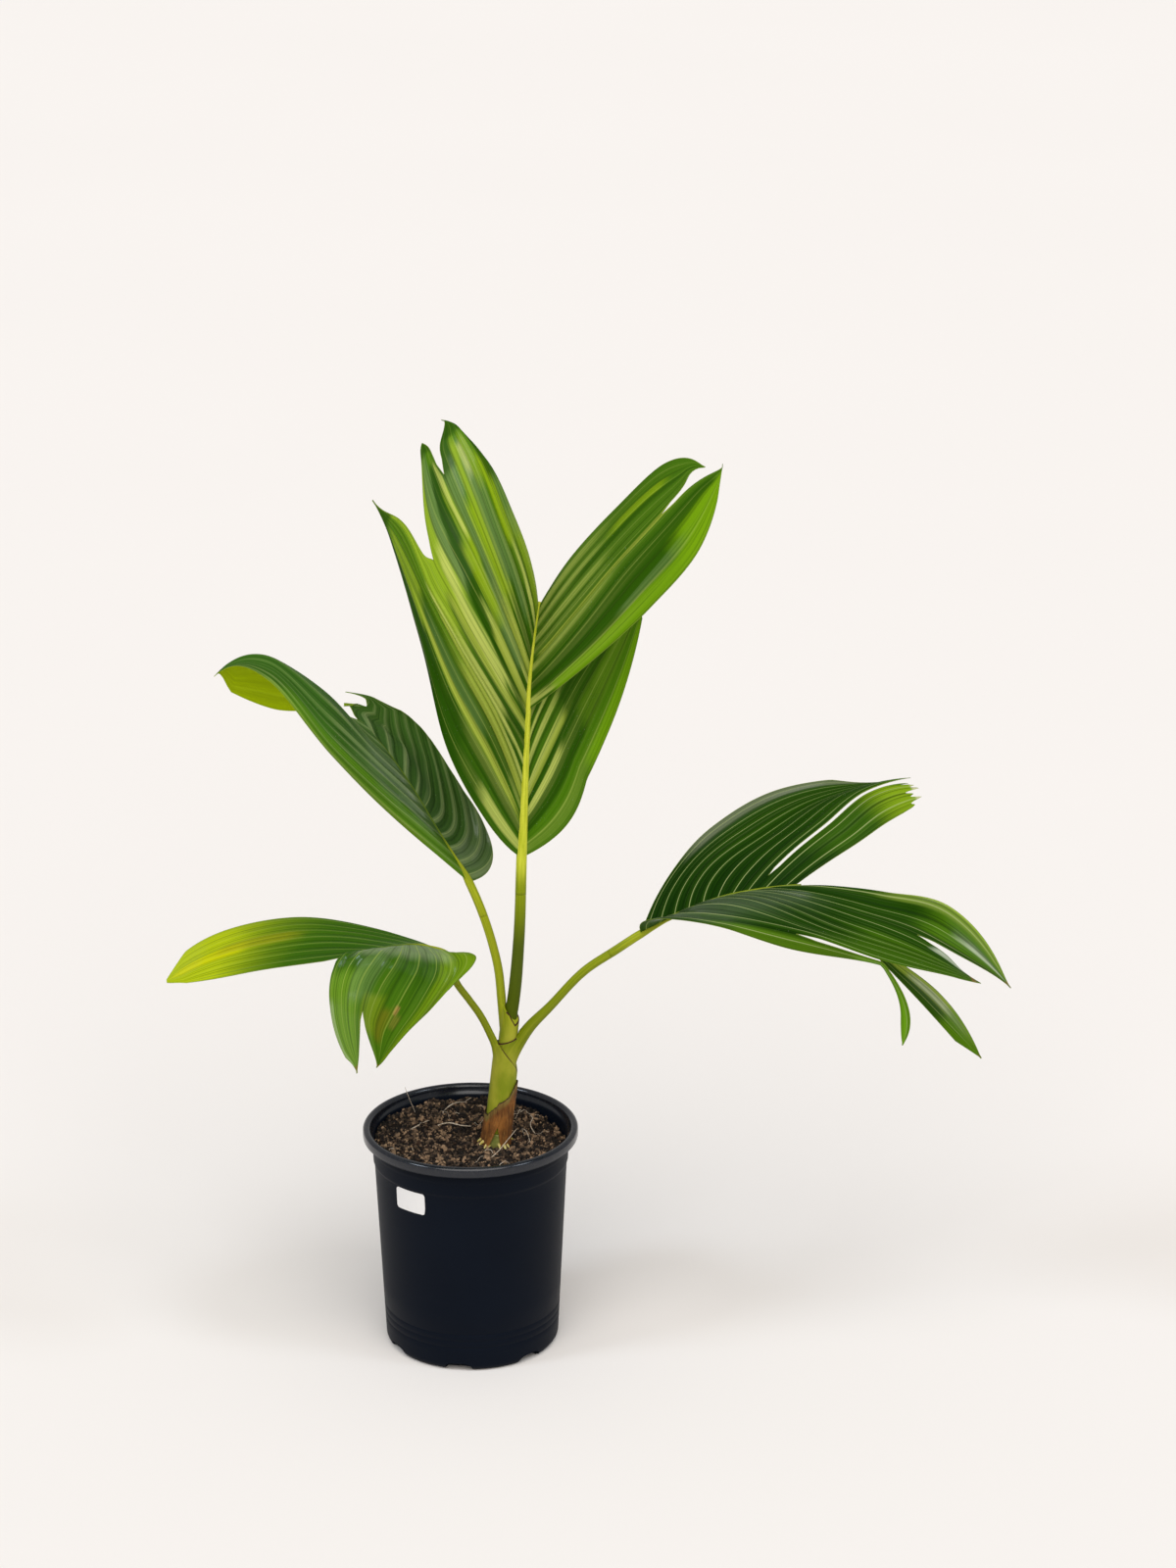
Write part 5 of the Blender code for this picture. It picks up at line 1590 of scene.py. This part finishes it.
            Patch((10.0, 11.0), 0.3, (0.6, 0.9), 0.12, (0.4, 0.52, 0.06), 0.85),
            # Painted highlight: a white glint on the third finger.
            Patch((10.5, 10.9), 0.2, (0.7, 0.86), 0.08, (0.62, 0.66, 0.48), 0.7),
            Patch((11.2, 12.0), 0.25, (0.3, 0.9), 0.1, (0.012, 0.045, 0.002), 0.8),
            Patch((10.0, 12.0), 0.25, (0.86, 1.0), 0.08, (0.12, 0.27, 0.006), 0.8),
            Patch((1.0, 12.0), 0.2, (0.99, 1.0), 0.008, (0.2, 0.11, 0.03), 0.9),
            # Painted sheen: a grey-white sheen along the far half's outer margin.
            Patch((20.0, 20.7), 0.5, (0.42, 0.9), 0.15, (0.26, 0.28, 0.18), 0.45),
            Patch((28.0, 30.0), 0.3, (0.45, 0.85), 0.2, (0.04, 0.11, 0.004), 0.7),
            Patch((28.0, 30.0), 0.3, (0.86, 1.0), 0.25, (0.22, 0.35, 0.008), 0.85),
            # Painted highlight: the torn end of the far half's last finger, painted nearly white.
            Patch((28.0, 30.0), 0.3, (0.97, 1.0), 0.02, (0.5, 0.5, 0.3), 0.9),
            Patch((25.0, 28.0), 0.5, (0.92, 1.0), 0.08, (0.06, 0.16, 0.008), 0.7),
        ],
        specks=[((1, 3), (0.5, 0.95)), ((25, 27), (0.5, 0.9))],
        gloss=[
            ((8.3, 9), (0.82, 0.95)), ((10, 11), (0.7, 0.9)), ((1, 8), (0.12, 0.28)), ((20, 21), (0.4, 0.8)),
        ],
    ),
    "lower_left": dict(
        grounds=((0.022, 0.075, 0.003), (0.05, 0.13, 0.003)),
        stripe=((0.07, 0.15, 0.02), (0.08, 0.18, 0.006), 0.2, 0.4, 1.3),
        rib=((0.32, 0.4, 0.07), 0.5),
        under=((0.06, 0.16, 0.01), 0.7),
        patches=[
            Patch((0.0, 2.0), 0.5, (0.1, 0.9), 0.15, (0.16, 0.27, 0.006), 0.8),
            # Painted sheen: whitish crinkles by the midrib where the wax reflects the light.
            Patch((1.8, 6.5), 0.8, (0.0, 0.12), 0.12, (0.3, 0.36, 0.2), 0.45),
            # Painted highlight: a white glint along the left finger's left edge.
            Patch((7.45, 7.8), 0.2, (0.6, 0.93), 0.08, (0.6, 0.66, 0.5), 0.5),
            Patch((5.8, 8.0), 0.5, (0.45, 0.95), 0.15, (0.16, 0.3, 0.02), 0.6),
            Patch((5.0, 5.9), 0.3, (0.25, 0.55), 0.12, PAINTED_SHEEN, 0.5),
            Patch((3.4, 3.5), 0.12, (0.6, 0.63), 0.03, (0.4, 0.2, 0.07), 0.7),
            Patch((3.1, 3.35), 0.2, (0.66, 0.7), 0.05, DRY, 0.35),
            Patch((3.7, 4.05), 0.3, (0.68, 0.8), 0.08, (0.16, 0.13, 0.008), 0.6),
            Patch((4.2, 5.0), 0.3, (0.6, 0.76), 0.08, (0.15, 0.22, 0.008), 0.7),
            Patch((0.0, 8.0), 0.2, (0.975, 1.0), 0.015, (0.2, 0.11, 0.02), 0.8),
            Patch((20.0, 27.0), 0.3, (0.55, 1.0), 0.2, (0.12, 0.2, 0.006), 0.85),
            Patch((20.0, 27.0), 0.3, (0.78, 1.0), 0.3, (0.42, 0.5, 0.006), 0.92),
            Patch((22.9, 23.9), 0.4, (0.72, 0.92), 0.1, (0.52, 0.53, 0.002), 0.8),
            Patch((22.6, 23.4), 0.4, (0.5, 0.72), 0.1, (0.3, 0.27, 0.008), 0.5),
        ],
        specks=[((0, 2), (0.4, 0.9))],
        gloss=[((20, 24), (0.88, 0.97)), ((5, 7.5), (0.6, 0.95)), ((1.5, 7), (0.02, 0.28))],
    ),
}


def midrib_look(stalk_colours, own_colours, green):
    """A midrib's look, which starts in its stalk's colours. green is how much green lies over its own."""

    def look(paint):
        place = paint.place()
        along, around = read(paint, "along"), read(paint, "around")
        streaks = paint.node("CombineXYZ", {0: around * 3, 1: along * 0.03, 2: 0.0}).grain(1.0, 3)
        colour = streaks.between(0.35, 0.65).blend(*own_colours)
        colour = (place.grain(300, 3).between(0.5, 0.8) * 0.3).blend(colour, (0.3, 0.38, 0.01))
        colour = (along.between(20, 60) * green).blend(colour, (0.06, 0.12, 0.01))
        colour = along.between(0, -30).blend(colour, streaks.between(0.35, 0.68).blend(*stalk_colours))
        return {
            "Base Color": colour,
            "Roughness": 0.36 + streaks * 0.12,
            "Specular IOR Level": 0.12,
            "Normal": streaks.bump(0.0004, 0.4),
        }

    return look


# How thick each midrib is beside its stalk's axis, its two colours, and how green
BRIGHT = ((0.42, 0.46, 0.02), (0.6, 0.62, 0.05))
DULL = ((0.24, 0.28, 0.008), (0.36, 0.4, 0.015))
MIDRIBS = {
    "centre": (1.0, BRIGHT, 0.0),
    "upper_left": (0.4, DULL, 0.9),
    "right": (0.6, DULL, 0.5),
    "lower_left": (0.4, DULL, 0.9),
}
MIDRIB_END = 5
for name, blades in BLADES.items():
    stalk = STALKS[name]
    points, faces, marks = [], [], []
    for half, blade in enumerate(blades):
        half_points, half_faces, half_marks = blade_mesh(blade, stalk, half)
        before = sum(map(len, points))
        faces += [[i + before for i in face] for face in half_faces]
        points.append(half_points)
        marks.append(half_marks)
    blade_finish = finish(f"{name}_blade", blade_look(**BLADE_LOOKS[name]))
    leaf = piece(f"{name}_leaf", np.concatenate(points) * MM, faces, blade_finish)
    for mark in marks[0]:
        keep(leaf, mark, np.concatenate([half[mark] for half in marks]))
    leaf.data.set_sharp_from_angle(angle=math.radians(60))
    belongs(leaf, "blade_green", f"{name}_blade")

    thickness, own_colours, green = MIDRIBS[name]
    ends = (stalk.joint - 2, stalk.length + MIDRIB_END)
    tube, faces, along, around = stalk.tube(*ends, 24, thins_to=thickness)
    midrib_finish = finish(f"{name}_midrib", midrib_look(STALK_LOOKS[name][:2], own_colours, green))
    midrib = piece(f"{name}_midrib", tube * MM, faces, midrib_finish)
    keep(midrib, "along", along - stalk.blade_start)
    keep(midrib, "around", around)
    belongs(midrib, "stalk_green")

# The studio: a pale floor that runs back out of view, a soft light from each side and a broad one from above
# the camera, and a long lens that looks down a little on the plant. The lights are far off, so the floor is
# evenly lit.
FLOOR_SIZE = 40


def floor_look(paint):
    place = paint.place()
    return {
        "Base Color": place.grain(0.7, 2).blend((0.82, 0.783, 0.748), (0.834, 0.797, 0.763)),
        "Roughness": 0.9,
        "Specular IOR Level": 0.0,
    }


reach = FLOOR_SIZE / 2
floor = piece(
    "floor", [(-reach, -reach, 0), (reach, -reach, 0), (reach, reach, 0), (-reach, reach, 0)], [(0, 1, 2, 3)],
    finish("floor_paper", floor_look),
)

# name, direction that the light comes from, its colour and strength, and how wide it looks in degrees
SOFT_LIGHTS = [
    ("left_softbox", (-1.0, -0.45, 1.1), (0.85, 0.97, 1.12), 0.55, 14),
    ("right_softbox", (1.0, -0.4, 1.1), (0.85, 0.97, 1.12), 0.38, 14),
    ("front_softbox", (0.05, -0.85, 1.0), (1.03, 1.0, 0.97), 2.12, 60),
]
for name, way, colour, strength, width in SOFT_LIGHTS:
    light = bpy.data.lights.new(name, "SUN")
    light.color = colour
    light.energy = strength
    light.angle = math.radians(width)
    added(name, light).rotation_euler = Vector(way).to_track_quat("Z", "Y").to_euler()

world = bpy.data.worlds.new("studio_air")
world.use_nodes = True
air = world.node_tree.nodes["Background"].inputs
air["Color"].default_value = (1.02, 1.0, 0.98, 1)
air["Strength"].default_value = 0.43
bpy.context.scene.world = world

CAMERA_PLACE = (0.109, -3.334, 1.699)
CAMERA_LOOKS_DOWN_DEG = 19.05
lens = bpy.data.cameras.new("camera")
lens.lens = 90
lens.sensor_width = 36
camera = added("camera", lens)
camera.location = CAMERA_PLACE
camera.rotation_euler = (math.radians(90 - CAMERA_LOOKS_DOWN_DEG), 0, 0)
bpy.context.scene.camera = camera
bpy.context.scene.view_settings.view_transform = "Standard"
